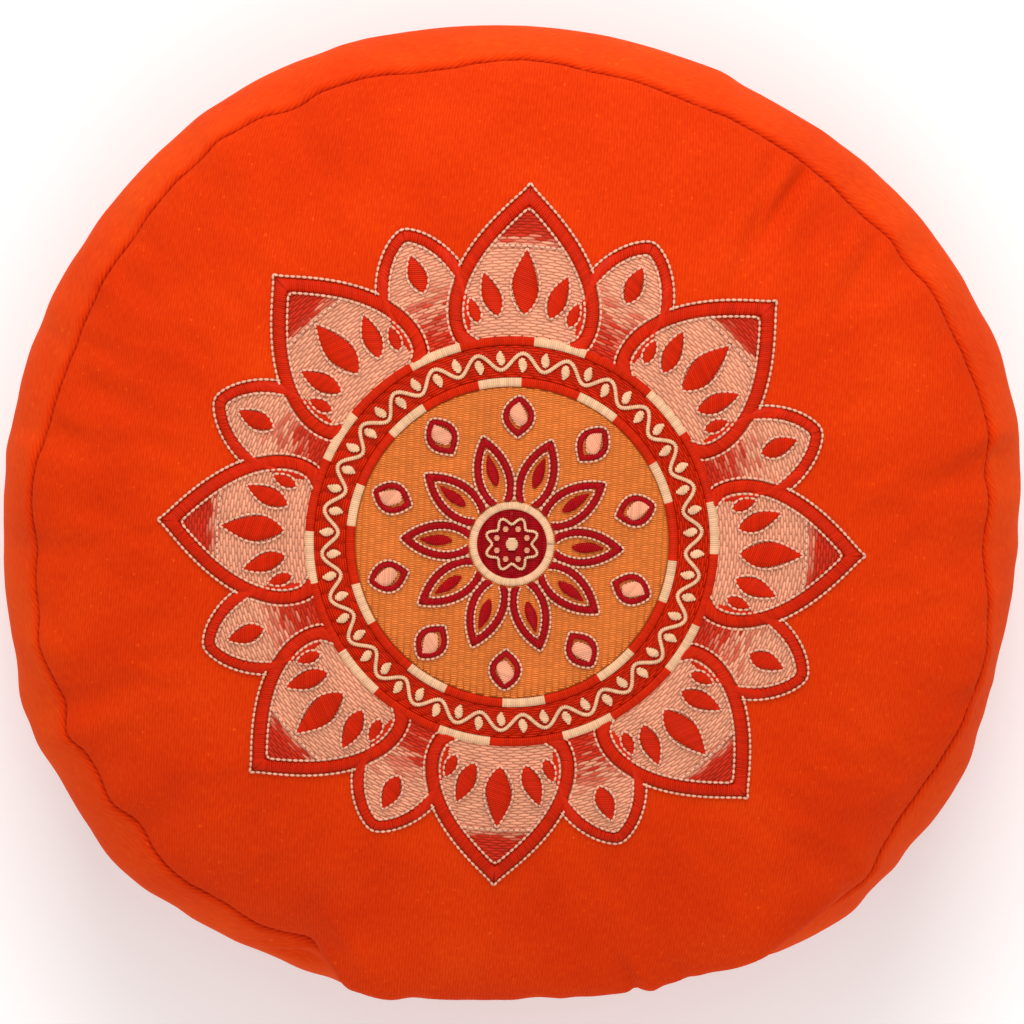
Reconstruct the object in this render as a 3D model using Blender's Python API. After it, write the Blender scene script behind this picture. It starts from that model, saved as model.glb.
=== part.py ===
"""Zafu meditation cushion, lying on its base, with an embroidered medallion on its top panel.

The cushion is one filled solid: a crowned top panel, a bulging side band and a base panel that
rests flat. Both seams are sewn grooves. The medallion's stitched areas are thin raised solids that
follow the crown. Millimetres are used throughout and turned to metres as each mesh is made.
"""
from collections import namedtuple

import bpy
import numpy as np

METRE = 0.001

# Height of the crown and of the seams
CROWN_HEIGHT = 150.0
TOP_SEAM_HEIGHT = 112.0
BASE_SEAM_HEIGHT = 24.0

# Shape of the crown: a broad dome and a tight roll just inside the seam
DOME_POWER = 2.6
ROLL_RISE = 4.0
ROLL_POWER = 14.0
DOME_RISE = CROWN_HEIGHT - TOP_SEAM_HEIGHT - ROLL_RISE

# The medallion lies on the even part of the panel. Folds and swells start outside this share of it
EVEN_SHARE = 0.75
BELLY_PEAK = 0.93

# Side band and base
BAND_FULLNESS = 2.3
BASE_SEAM_DRAW = 2.5
BASE_FLAT_RADIUS = 122.0
BASE_ROUND_POWER = 2.0

# Sewn seams: the groove and the soft lips beside it, as steps outwards and upwards from the seam line
GROOVE = (-1.0, -0.6)
PANEL_LIP = (-1.3, 2.6)
BELLY_LIP = (1.2, 2.6)
BAND_LIP = (2.0, -1.8)
BASE_BAND_LIP = (1.7, 2.6)
BASE_PANEL_LIP = (-1.6, -2.6)

# Mesh rows: shares of the way from the crown to the seam, down the band, and in along the base
SEGMENTS = 120
PANEL_ROWS = (0.15, 0.31, 0.46, 0.59, 0.69, 0.76, 0.82, 0.87, 0.91, 0.945, 0.972)
BAND_ROWS = (0.07, 0.16, 0.28, 0.42, 0.58, 0.74, 0.88)
BASE_ROWS = (0.16, 0.38, 0.68, 1.0)

# One row for each section round the cushion, counted anticlockwise from the right as seen from above.
# Belly is how far the panel swells out over its seam, and reach is the band's widest radius.
Section = namedtuple("Section", "angle seam_radius seam_height belly reach")
SECTIONS = [Section(*row) for row in (
    (0, 150.2, 112, 0, 165.0),
    (15, 153.5, 112, 0, 166.2),
    (30, 151.8, 112, 0, 164.5),
    (45, 149.0, 112, 0, 160.5),
    (60, 147.0, 112, 0, 157.8),
    (75, 146.3, 112, 0, 157.3),
    (90, 148.0, 112, 0, 157.8),
    (105, 147.8, 112, 0, 159.6),
    (120, 150.8, 112, 0, 162.0),
    (135, 151.2, 112, 0, 162.5),
    (150, 150.0, 112, 0, 163.0),
    (165, 149.2, 112, 0, 163.6),
    (180, 151.6, 112, 0, 163.4),
    (195, 152.5, 112, 0, 166.2),
    (210, 151.8, 112, 0, 170.0),
    (225, 152.8, 111, 0, 171.2),
    (240, 150.2, 108, 3, 165.0),
    (255, 151.0, 102, 12, 160.0),
    (270, 148.0, 99, 11.5, 156.0),
    (285, 149.6, 99, 11.5, 158.0),
    (300, 155.0, 101, 12, 166.0),
    (315, 158.5, 106, 4, 171.8),
    (330, 156.0, 110, 0, 170.0),
    (345, 155.8, 112, 0, 164.2),
)]

# One row for each fold or pucker. Width is its half-width in degrees, draw moves the seam in or out,
# swell moves the band's outline, and crease is its depth on the panel, reaching that far inwards.
Fold = namedtuple("Fold", "angle width draw swell crease reach")
FOLDS = [Fold(*row) for row in (
    (6, 2.0, -1.6, 0.0, 0.8, 22),
    (10, 3.0, 1.4, 1.2, -0.6, 20),
    (33, 2.4, -0.9, -0.4, 0.9, 26),
    (43, 2.5, -0.5, 0.0, 0.9, 30),
    (51, 2.2, -0.6, 0.4, 1.6, 36),
    (67, 5.0, -0.8, 0.3, 0.8, 24),
    (100, 2.6, -2.3, 0.0, 1.0, 20),
    (107, 2.6, 1.4, 0.4, -0.6, 18),
    (118, 2.0, -1.9, 0.0, 1.2, 22),
    (128, 3.5, 2.0, 0.8, -0.8, 22),
    (146, 2.5, -0.9, -0.5, 1.0, 26),
    (160, 4.0, -0.7, 0.0, 1.2, 34),
    (172, 2.5, 0.9, 0.6, -0.8, 30),
    (185, 2.8, -3.2, -0.4, 1.3, 32),
    (195, 3.0, 1.4, 0.3, -0.8, 24),
    (202, 2.2, -2.2, 0.8, 1.4, 26),
    (207, 2.4, 3.8, 0.8, -0.8, 20),
    (220, 2.6, -2.2, 0.6, 1.2, 26),
    (228, 3.0, 1.2, -0.6, -0.8, 22),
    (245, 3.0, -3.6, -1.8, 2.4, 34),
    (252, 2.6, 1.0, 1.4, -1.4, 26),
    (266, 3.0, -0.6, -1.0, 1.0, 24),
    (284, 2.6, -1.0, -1.0, 1.4, 28),
    (288, 2.4, 1.0, 1.2, -1.2, 22),
    (304, 4.0, 0.8, 1.6, -0.8, 24),
    (321, 3.0, -3.4, -1.2, 1.2, 26),
    (334, 3.0, 0.8, 0.9, -0.6, 20),
    (356, 2.8, -1.3, 0.3, 1.0, 24),
)]
CREASE_FADE = 1.5
CREASE_AT_SEAM = 0.5
FOLDS_AT_BASE = 0.6

# Small even gathers of the seam between the main folds: turns round the cushion, start and depth
GATHERS = ((29, 80.0, 0.35), (47, 80.0, 0.30), (71, 320.0, 0.20))
BASE_GATHER_SHIFT = 17.0

# Medallion: its centre beside the crown, the turn of the first petal, and radii from its centre
MEDALLION_CENTRE = (0.8, 0.9)
MEDALLION_TURN = -3.0
CENTRE_FLOWER = 9.8
CENTRE_INNER = 10.6
CENTRE_OUTER = 13.2
DISC_INNER = 13.8
DISC_OUTER = 47.6
RING_INNER = 48.2
RING_OUTER = 63.0

# One row for each kind of petal: how many go round, where the first one points, its root and tip
# radii, half-width at the root, how fast it widens, how sharply it closes at the tip, and the width
# of its satin border
Petal = namedtuple("Petal", "name count first root tip root_half widening closing border finish")
LARGE = Petal("large_petal", 8, 0.0, 64.1, 109.0, 20.0, 2.4, 1.15, 4.0, "fill_pink")
SMALL = Petal("small_petal", 8, 22.5, 64.1, 101.0, 12.0, 1.9, 0.7, 3.2, "fill_pink")
ROSETTE = Petal("rosette_petal", 10, 0.0, 14.6, 34.0, 4.0, 3.2, 0.95, 2.0, "satin_wine")
BUD = Petal("bud", 10, 18.0, 34.6, 45.4, 1.8, 7.5, 0.9, 1.6, "satin_wine")
LONG_ROWS = (0.0, 0.14, 0.30, 0.46, 0.62, 0.77, 0.89, 0.97)
SHORT_ROWS = (0.0, 0.22, 0.50, 0.76, 0.94)
BETWEEN_PETALS = 1.0
WIDEST_BORDER_SHARE = 0.7

# Thread build-up: height of filled areas, of satin borders and ribs, and the gap that parts two pieces
PIECE_GAP = 0.4
FILL_HEIGHT = 0.6
BORDER_HEIGHT = 1.1
RIB_HEIGHT = 1.0
RING_CREST = 2.0
RING_STEPS = 72
DISC_STEPS = 60
CENTRE_STEPS = 48
CENTRE_ROWS = (0.35, 0.72, 1.0)
CENTRE_LOBES = 8
CENTRE_LOBE_DEPTH = 1.5
SHARP_ANGLE = 40.0

# Cloth and thread finishes: colour and roughness
FINISHES = {
    "cotton_twill": ((0.72, 0.06, 0.008), 0.85),
    "satin_red": ((0.52, 0.03, 0.008), 0.45),
    "fill_pink": ((0.72, 0.27, 0.17), 0.60),
    "fill_apricot": ((0.80, 0.26, 0.06), 0.60),
    "satin_wine": ((0.33, 0.008, 0.012), 0.45),
    "satin_cream": ((0.88, 0.66, 0.42), 0.50),
}


def around(name, angle):
    """A section's value at any angle: a smooth cubic through the table's rows, closed on itself."""
    values = np.array([getattr(row, name) for row in SECTIONS], dtype=float)
    count = len(values)
    place = np.mod(angle, 360.0) * count / 360.0
    first = np.floor(place).astype(int)
    t = place - first
    start = values[first % count]
    end = values[(first + 1) % count]
    slope = 0.5 * (end - values[(first - 1) % count])
    next_slope = 0.5 * (values[(first + 2) % count] - start)
    rise = end - start
    bend = 3.0 * rise - 2.0 * slope - next_slope
    return start + slope * t + bend * t**2 + (slope + next_slope - 2.0 * rise) * t**3


def fold_shape(fold, angle):
    """A fold's strength round the cushion: one at its middle, falling away as a bell."""
    away = np.mod(angle - fold.angle + 180.0, 360.0) - 180.0
    return np.exp(-((away / fold.width) ** 2))


def fold_sum(name, angle):
    """What all folds together do to the seam or to the outline."""
    return sum(getattr(fold, name) * fold_shape(fold, angle) for fold in FOLDS)


def gather_sum(angle):
    """The small even gathers between the folds."""
    return sum(depth * np.sin(np.radians(turns * angle + start)) for turns, start, depth in GATHERS)


def smooth_step(x):
    x = np.clip(x, 0.0, 1.0)
    return x * x * (3.0 - 2.0 * x)


def belly_shape(u):
    """Swell of the panel over its seam: it grows outside the even part and turns back to the seam."""
    rise = smooth_step((u - EVEN_SHARE) / (BELLY_PEAK - EVEN_SHARE))
    fall = np.cos(0.5 * np.pi * np.clip((u - BELLY_PEAK) / (1.0 - BELLY_PEAK), 0.0, 1.0))
    return rise * fall


def crease_depth(u, angle):
    """How far the folds sink into the panel: deepest at the seam, gone at each fold's reach."""
    from_seam = (1.0 - u) * around("seam_radius", angle)
    depth = 0.0
    for fold in FOLDS:
        fade = np.clip(1.0 - from_seam / fold.reach, 0.0, 1.0) ** CREASE_FADE
        depth = depth + fold.crease * fold_shape(fold, angle) * fade
    return depth


def dome_height(u):
    """Height of the even dome: a broad fall by one power of u, and a tight one beside the seam."""
    return TOP_SEAM_HEIGHT + DOME_RISE * (1.0 - u**DOME_POWER) + ROLL_RISE * (1.0 - u**ROLL_POWER)


def panel(u, angle):
    """Top panel at share u of the way from the crown to the seam: radius and height."""
    outside = np.clip((u - EVEN_SHARE) / (1.0 - EVEN_SHARE), 0.0, 1.0)
    radius = u * around("seam_radius", angle) + around("belly", angle) * belly_shape(u)
    radius = radius + smooth_step(outside) * (fold_sum("draw", angle) + gather_sum(angle))
    sink = (TOP_SEAM_HEIGHT - around("seam_height", angle)) * outside**2
    return radius, dome_height(u) - sink - crease_depth(u, angle)


def top_seam(angle):
    """The line where the panel meets the band: radius and height."""
    radius = around("seam_radius", angle) + fold_sum("draw", angle) + gather_sum(angle)
    return radius, around("seam_height", angle) - CREASE_AT_SEAM * crease_depth(1.0, angle)


def base_seam(angle):
    """The line where the band meets the base: a little inside the top one, with its own folds."""
    radius = around("seam_radius", angle) - BASE_SEAM_DRAW - FOLDS_AT_BASE * fold_sum("draw", -angle)
    return radius + gather_sum(angle + BASE_GATHER_SHIFT), np.full_like(radius, BASE_SEAM_HEIGHT)


def band(v, angle):
    """Side band at share v of the way from the top seam to the base seam: radius and height."""
    top, top_height = top_seam(angle)
    low, low_height = base_seam(angle)
    bulge = around("reach", angle) + fold_sum("swell", angle) - 0.5 * (top + low)
    arch = 1.0 - np.abs(2.0 * v - 1.0) ** BAND_FULLNESS
    return top + (low - top) * v + bulge * arch, top_height + (low_height - top_height) * v


def base(w, angle):
    """Base panel at share w of the way from its seam to the flat it rests on: radius and height."""
    radius, height = base_seam(angle)
    return radius + (BASE_FLAT_RADIUS - radius) * w, height * (1.0 - w) ** BASE_ROUND_POWER


def stepped(line, step):
    """A line moved outwards and upwards by a step."""
    radius, height = line
    return radius + step[0], height + step[1]


def cushion_rings(angle):
    """All rings from the crown down to the flat base, as pairs of radius and height."""
    full = around("belly", angle) / max(row.belly for row in SECTIONS)
    lip_out = PANEL_LIP[0] + (BELLY_LIP[0] - PANEL_LIP[0]) * full
    rings = [panel(u, angle) for u in PANEL_ROWS]
    rings.append(stepped(top_seam(angle), (lip_out, PANEL_LIP[1])))
    rings.append(stepped(top_seam(angle), GROOVE))
    rings.append(stepped(top_seam(angle), BAND_LIP))
    rings += [band(v, angle) for v in BAND_ROWS]
    rings.append(stepped(base_seam(angle), BASE_BAND_LIP))
    rings.append(stepped(base_seam(angle), GROOVE))
    rings.append(stepped(base_seam(angle), BASE_PANEL_LIP))
    rings += [base(w, angle) for w in BASE_ROWS]
    return rings


def cushion_mesh():
    """Points and faces of the whole cushion: a fan at the crown, rings, and one flat face below."""
    angle = np.arange(SEGMENTS) * 360.0 / SEGMENTS
    rings = cushion_rings(angle)
    radius = np.array([ring[0] for ring in rings])
    height = np.array([ring[1] for ring in rings])
    turn = np.radians(angle)
    points = np.stack((radius * np.cos(turn), radius * np.sin(turn), height), axis=-1).reshape(-1, 3)
    crown = len(points)
    points = np.vstack((points, (0.0, 0.0, CROWN_HEIGHT)))
    here = range(SEGMENTS)
    faces = [(crown, a, (a + 1) % SEGMENTS) for a in here]
    for row in range(len(rings) - 1):
        above = row * SEGMENTS
        below = above + SEGMENTS
        for a in here:
            b = (a + 1) % SEGMENTS
            faces.append((above + a, below + a, below + b, above + b))
    last = (len(rings) - 1) * SEGMENTS
    faces.append(tuple(last + a for a in reversed(here)))
    return points, faces


def crown_height(x, y):
    """Height of the even dome above any point of the medallion."""
    u = np.hypot(x, y) / around("seam_radius", np.degrees(np.arctan2(y, x)))
    return dome_height(u)


def slab_mesh(x, y, thickness, lift, ring):
    """A thin solid over a grid of plan points that lies the given lift above the dome.

    Rows run outwards and columns anticlockwise. On a ring the last column joins the first.
    """
    x = x + MEDALLION_CENTRE[0]
    y = y + MEDALLION_CENTRE[1]
    rows, columns = x.shape
    floor = crown_height(x, y) + lift
    under = np.stack((x, y, floor), axis=-1).reshape(-1, 3)
    over = np.stack((x, y, floor + thickness), axis=-1).reshape(-1, 3)
    top = rows * columns
    last = top - columns
    faces = []
    for j in range(columns if ring else columns - 1):
        k = (j + 1) % columns
        for i in range(0, last, columns):
            faces.append((top + i + j, top + i + columns + j, top + i + columns + k, top + i + k))
            faces.append((i + k, i + columns + k, i + columns + j, i + j))
        faces.append((j, top + j, top + k, k))
        faces.append((last + k, top + last + k, top + last + j, last + j))
    if not ring:
        side = columns - 1
        for i in range(0, last, columns):
            faces.append((i, i + columns, top + i + columns, top + i))
            faces.append((i + side + columns, i + side, top + i + side, top + i + side + columns))
    return np.vstack((under, over)), faces


def petal_half(petal, radius):
    """Half-width of a petal at a radius: wide shoulders near its root, narrowing flanks to its tip."""
    s = (radius - petal.root) / (petal.tip - petal.root)
    return petal.root_half * (1.0 + petal.widening * s) * np.clip(1.0 - s, 0.0, 1.0) ** petal.closing


def beside_large(radius):
    """Half-width that two neighbouring large petals leave free between them."""
    free = np.pi / LARGE.count - np.arcsin(petal_half(LARGE, radius) / radius)
    return radius * np.sin(free) - BETWEEN_PETALS


def petal_grid(petal, along):
    """Plan points and heights of a petal that points along +X.

    Its columns cross the outer edge, crest and inner edge of the satin border, the rib, and back.
    """
    radius = petal.root + (petal.tip - petal.root) * np.array(along)[:, None]
    half = petal_half(petal, radius)
    if petal is SMALL:
        half = np.minimum(half, beside_large(radius))
    border = np.minimum(petal.border / half, WIDEST_BORDER_SHARE)
    sides = [np.ones_like(half), 1.0 - 0.5 * border]
    levels = [FILL_HEIGHT, BORDER_HEIGHT]
    if petal in (LARGE, SMALL):
        sides.append(1.0 - border)
        levels.append(FILL_HEIGHT)
    y = half * np.hstack([-side for side in sides] + [np.zeros_like(half)] + sides[::-1])
    x = np.sqrt(radius**2 - y**2)
    return x, y, np.broadcast_to(levels + [RIB_HEIGHT] + levels[::-1], y.shape)


def turned(x, y, degrees):
    turn = np.radians(degrees)
    return x * np.cos(turn) - y * np.sin(turn), x * np.sin(turn) + y * np.cos(turn)


def ring_mesh(radii, heights, steps, lift):
    """A flat ring of thread, with a height for each of its radii."""
    angle = np.arange(steps) * 2.0 * np.pi / steps
    radius = np.array(radii)[:, None]
    levels = np.broadcast_to(np.array(heights)[:, None], (len(radii), steps))
    return slab_mesh(radius * np.cos(angle), radius * np.sin(angle), levels, lift, True)


def button_mesh(shares, outline, heights, lift):
    """A thin solid without a hole: rings of shares of the outline, closed at the middle by fans."""
    steps = len(outline)
    angle = np.arange(steps) * 2.0 * np.pi / steps
    radius = np.array(shares)[:, None] * outline
    levels = np.broadcast_to(np.array(heights)[:, None], radius.shape)
    points, faces = slab_mesh(radius * np.cos(angle), radius * np.sin(angle), levels, lift, True)
    inner_wall = [(j, steps * len(shares) + j) for j in range(steps)]
    walls = {frozenset(pair + inner_wall[(j + 1) % steps]) for j, pair in enumerate(inner_wall)}
    faces = [face for face in faces if frozenset(face) not in walls]
    pole = np.array((*MEDALLION_CENTRE, crown_height(*MEDALLION_CENTRE) + lift))
    low_pole = len(points)
    for j in range(steps):
        k = (j + 1) % steps
        faces.append((low_pole, k, j))
        faces.append((low_pole + 1, inner_wall[j][1], inner_wall[k][1]))
    return np.vstack((points, pole, pole + (0.0, 0.0, heights[0]))), faces


def material(name):
    """A cloth or thread finish, made once."""
    made = bpy.data.materials.get(name)
    if made is None:
        colour, roughness = FINISHES[name]
        made = bpy.data.materials.new(name)
        made.use_nodes = True
        shader = made.node_tree.nodes["Principled BSDF"]
        shader.inputs["Base Color"].default_value = (*colour, 1.0)
        shader.inputs["Roughness"].default_value = roughness
        shader.inputs["Metallic"].default_value = 0.0
    return made


def add_object(name, shape, finish, centre):
    """One named solid, moved so that the whole cushion stands centred on the origin."""
    points, faces = shape
    mesh = bpy.data.meshes.new(name)
    mesh.from_pydata(((points - centre) * METRE).tolist(), [], faces)
    mesh.materials.append(material(finish))
    mesh.shade_smooth()
    mesh.set_sharp_from_angle(angle=np.radians(SHARP_ANGLE))
    bpy.context.scene.collection.objects.link(bpy.data.objects.new(name, mesh))


def add_petals(petal, along, lift, centre):
    """All petals of one kind, turned round the medallion."""
    x, y, heights = petal_grid(petal, along)
    for number in range(petal.count):
        turn = MEDALLION_TURN + petal.first + number * 360.0 / petal.count
        shape = slab_mesh(*turned(x, y, turn), heights, lift, False)
        add_object(f"{petal.name}_{number + 1}", shape, petal.finish, centre)


def add_field(centre):
    """The red ring and the apricot disc inside it."""
    ring_middle = 0.5 * (RING_INNER + RING_OUTER)
    ring_radii = (RING_INNER, RING_INNER + RING_CREST, ring_middle, RING_OUTER - RING_CREST, RING_OUTER)
    ring_levels = (FILL_HEIGHT, BORDER_HEIGHT, RIB_HEIGHT, BORDER_HEIGHT, FILL_HEIGHT)
    add_object("ring", ring_mesh(ring_radii, ring_levels, RING_STEPS, PIECE_GAP), "satin_red", centre)
    disc_radii = (DISC_INNER, 0.5 * (DISC_INNER + DISC_OUTER), DISC_OUTER)
    disc_levels = (FILL_HEIGHT, FILL_HEIGHT, FILL_HEIGHT)
    add_object("disc", ring_mesh(disc_radii, disc_levels, DISC_STEPS, PIECE_GAP), "fill_apricot", centre)


def add_centre(centre):
    """The cream ring and the lobed flower at the very middle."""
    radii = (CENTRE_INNER, 0.5 * (CENTRE_INNER + CENTRE_OUTER), CENTRE_OUTER)
    levels = (FILL_HEIGHT, BORDER_HEIGHT, FILL_HEIGHT)
    add_object("centre_ring", ring_mesh(radii, levels, CENTRE_STEPS, PIECE_GAP), "satin_cream", centre)
    turn = np.arange(CENTRE_STEPS) * 2.0 * np.pi / CENTRE_STEPS
    outline = CENTRE_FLOWER - CENTRE_LOBE_DEPTH * np.cos(0.5 * CENTRE_LOBES * turn) ** 2
    flower = button_mesh(CENTRE_ROWS, outline, (RIB_HEIGHT, BORDER_HEIGHT, FILL_HEIGHT), PIECE_GAP)
    add_object("centre_flower", flower, "satin_wine", centre)


def build():
    """The whole cushion, with the middle of its outline over the origin."""
    for item in list(bpy.data.objects):
        bpy.data.objects.remove(item, do_unlink=True)
    points, faces = cushion_mesh()
    centre = 0.5 * (points.min(axis=0) + points.max(axis=0)) * (1.0, 1.0, 0.0)
    add_object("cushion", (points, faces), "cotton_twill", centre)
    on_disc = PIECE_GAP + FILL_HEIGHT + PIECE_GAP
    add_petals(LARGE, LONG_ROWS, PIECE_GAP, centre)
    add_petals(SMALL, LONG_ROWS, PIECE_GAP, centre)
    add_field(centre)
    add_petals(ROSETTE, SHORT_ROWS, on_disc, centre)
    add_petals(BUD, SHORT_ROWS, on_disc, centre)
    add_centre(centre)


build()
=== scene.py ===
# %% [markdown]
# # A round sitting cushion with a stitched medallion
#
# The real thing is a zafu: two rounds of cotton twill and a long side strip, sewn together and filled
# until the top stands up as a crown. A machine has stitched a medallion on the top round. This lesson
# builds it as the sewing room does: cloth first, then its seams and puckers, then thread by thread.

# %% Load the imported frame
from collections import namedtuple

import bpy
import numpy as np
from mathutils import Matrix


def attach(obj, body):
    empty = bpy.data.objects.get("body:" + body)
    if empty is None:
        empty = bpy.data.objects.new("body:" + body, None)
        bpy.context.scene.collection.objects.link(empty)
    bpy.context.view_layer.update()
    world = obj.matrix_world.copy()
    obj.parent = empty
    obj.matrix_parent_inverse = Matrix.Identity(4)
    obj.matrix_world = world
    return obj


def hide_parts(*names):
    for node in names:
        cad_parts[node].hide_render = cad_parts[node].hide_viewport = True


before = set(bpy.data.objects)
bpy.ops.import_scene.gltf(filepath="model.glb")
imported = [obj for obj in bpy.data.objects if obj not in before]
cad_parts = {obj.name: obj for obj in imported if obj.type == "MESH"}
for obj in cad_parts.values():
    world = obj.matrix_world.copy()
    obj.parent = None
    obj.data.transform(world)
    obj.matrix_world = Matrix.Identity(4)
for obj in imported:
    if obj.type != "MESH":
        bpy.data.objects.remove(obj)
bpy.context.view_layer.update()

METRE = 0.001
ROOT = "root"

# %% [markdown]
# The frame fixes where things are. Two places are read from it: the point of the crown, which is the
# axis that every section is measured from, and the middle of the stitched ring, which is the middle of
# the medallion. All lengths below are millimetres, turned to metres when a mesh is made.

# %% Places read from the frame
def mesh_points(mesh):
    """All points of a mesh, in millimetres, one row for each."""
    flat = np.empty(len(mesh.vertices) * 3, dtype=np.float32)
    mesh.vertices.foreach_get("co", flat)
    return flat.reshape(-1, 3).astype(float) / METRE


cushion_points = mesh_points(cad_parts["cushion"].data)
CROWN = cushion_points[cushion_points[:, 2].argmax()]
AXIS = CROWN[:2]
ring_points = mesh_points(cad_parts["ring"].data)
MEDALLION = 0.5 * (ring_points[:, :2].min(axis=0) + ring_points[:, :2].max(axis=0))
print("crown at", CROWN.round(2), "medallion centre at", MEDALLION.round(2))

# %% [markdown]
# The outline is no circle. Loose filling and a long seam leave each side with a reach of its own, and
# at the lower edge the crown sags over its seam and hides it. One row for each section, 15 degrees
# apart, says how far out and how high the seam lies, how far the panel swells over it, and how far the
# side band reaches. A smooth cubic joins the rows, because stuffed cloth has no corners.

# %% Sections round the cushion
Section = namedtuple("Section", "angle seam_radius seam_height belly reach")
SECTIONS = [Section(*row) for row in (
    (0, 150.2, 112, 0, 165.0),
    (15, 153.5, 112, 0, 166.2),
    (30, 151.8, 112, 0, 164.5),
    (45, 149.0, 112, 0, 160.5),
    (60, 147.0, 112, 0, 157.8),
    (75, 146.3, 112, 0, 157.3),
    (90, 148.0, 112, 0, 157.8),
    (105, 147.8, 112, 0, 159.6),
    (120, 150.8, 112, 0, 162.0),
    (135, 151.2, 112, 0, 162.5),
    (150, 150.0, 112, 0, 163.0),
    (165, 149.2, 112, 0, 163.6),
    (180, 151.6, 112, 0, 163.4),
    (195, 152.5, 112, 0, 166.2),
    (210, 151.8, 112, 0, 170.0),
    (225, 152.8, 111, 0, 171.2),
    (240, 150.2, 108, 0, 165.0),
    (255, 151.0, 102, 12, 160.0),
    (270, 148.0, 99, 11.5, 156.0),
    (285, 149.6, 99, 11.5, 158.0),
    (300, 155.0, 101, 12, 166.0),
    (315, 158.5, 106, 4, 171.8),
    (330, 156.0, 110, 0, 170.0),
    (345, 155.8, 112, 0, 164.2),
)]


def closed_curve(values, angle):
    """A Catmull-Rom cubic through values spread evenly round the cushion, closed on itself."""
    values = np.asarray(values, dtype=float)
    count = len(values)
    place = np.mod(angle, 360.0) * count / 360.0
    first = np.floor(place).astype(int)
    t = place - first
    start = values[first % count]
    end = values[(first + 1) % count]
    slope = 0.5 * (end - values[(first - 1) % count])
    next_slope = 0.5 * (values[(first + 2) % count] - start)
    rise = end - start
    bend = 3.0 * rise - 2.0 * slope - next_slope
    return start + slope * t + bend * t**2 + (slope + next_slope - 2.0 * rise) * t**3


def around(name, angle):
    """A section's value at any angle: the closed curve through the table's rows."""
    return closed_curve([getattr(row, name) for row in SECTIONS], angle)


print("sections:", len(SECTIONS), "widest reach", max(row.reach for row in SECTIONS), "mm")

# %% [markdown]
# Where a long seam has a little too much cloth, it puckers. Each pucker or fold is one row: where it
# is, how wide, how far it pulls the lower seam in, what it does to the outline, and how deep and how
# long its crease runs on the panel. A bell curve gives each its shape, so that neighbours melt into
# each other. The lower seam is hidden from above, so it takes the same folds at mirrored places.

# %% Folds and puckers
Fold = namedtuple("Fold", "angle width draw swell crease reach")
FOLDS = [Fold(*row) for row in (
    (6, 2.0, -1.6, 0.0, 0.8, 22),
    (10, 3.0, 1.4, 1.2, -0.6, 20),
    (33, 2.4, -0.9, -0.4, 0.9, 26),
    (43, 2.5, -0.5, 0.0, 0.9, 30),
    (51, 2.2, -0.6, 0.4, 1.6, 36),
    (67, 5.0, -0.8, 0.3, 0.8, 24),
    (100, 2.6, -2.3, 0.0, 1.0, 20),
    (107, 2.6, 1.4, 0.4, -0.6, 18),
    (118, 2.0, -1.9, 0.0, 1.2, 22),
    (128, 3.5, 2.0, 0.8, -0.8, 22),
    (146, 2.5, -0.9, -0.5, 1.0, 26),
    (160, 4.0, -0.7, 0.0, 1.2, 34),
    (169, 1.2, -1.0, 0.0, 0.4, 12),
    (172, 2.2, 1.0, 0.6, -0.8, 30),
    (185, 2.8, -3.2, -0.4, 1.3, 32),
    (195, 3.0, 1.4, 0.3, -0.8, 24),
    (202, 2.2, -2.2, 0.8, 1.4, 26),
    (207, 2.4, 3.8, 0.8, -0.8, 20),
    (220, 2.6, -2.2, 0.6, 1.2, 26),
    (228, 3.0, 1.2, -0.6, -0.8, 22),
    (244.5, 2.6, -3.2, -0.4, 1.4, 30),
    (250.5, 2.0, 4.0, 0.0, -0.6, 20),
    (266, 3.0, -0.6, -1.0, 1.0, 24),
    (284, 2.6, -1.0, -1.0, 1.4, 28),
    (288, 2.4, 1.0, 1.2, -1.2, 22),
    (304, 4.0, 0.8, 1.6, -0.8, 24),
    (321, 3.0, -3.4, -1.2, 1.2, 26),
    (334, 3.0, 0.8, 0.9, -0.6, 20),
    (356, 2.8, -1.3, 0.3, 1.0, 24),
)]

# Small even gathers between the folds: turns round the cushion, start in degrees, and depth
GATHERS = ((29, 80.0, 0.35), (47, 80.0, 0.30), (71, 320.0, 0.20), (113, 200.0, 0.10))


def bell(angle, middle, width):
    """One at its middle, falling away on both sides: e to the minus square of the degrees over a width."""
    away = np.mod(angle - middle + 180.0, 360.0) - 180.0
    return np.exp(-((away / width) ** 2))


def fold_sum(name, angle):
    """What all folds do to the lower seam or the outline: each value times its bell, added up."""
    return sum(getattr(fold, name) * bell(angle, fold.angle, fold.width) for fold in FOLDS)


def gather_sum(angle):
    """The small even gathers: a few sines of different counts, so that they never quite repeat."""
    return sum(depth * np.sin(np.radians(turns * angle + start)) for turns, start, depth in GATHERS)


print("folds:", len(FOLDS), "deepest crease", max(fold.crease for fold in FOLDS), "mm")

# %% [markdown]
# Sections 15 degrees apart can't hold every wander of the sewing line, which kinks at each pucker. So
# the line itself is given by the points where it turns. The outline gets a fine trim in the same way: a
# small bell wherever it stands out past its sections, or in. A smooth curve through evenly spaced
# points would round the kinks away.

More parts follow.
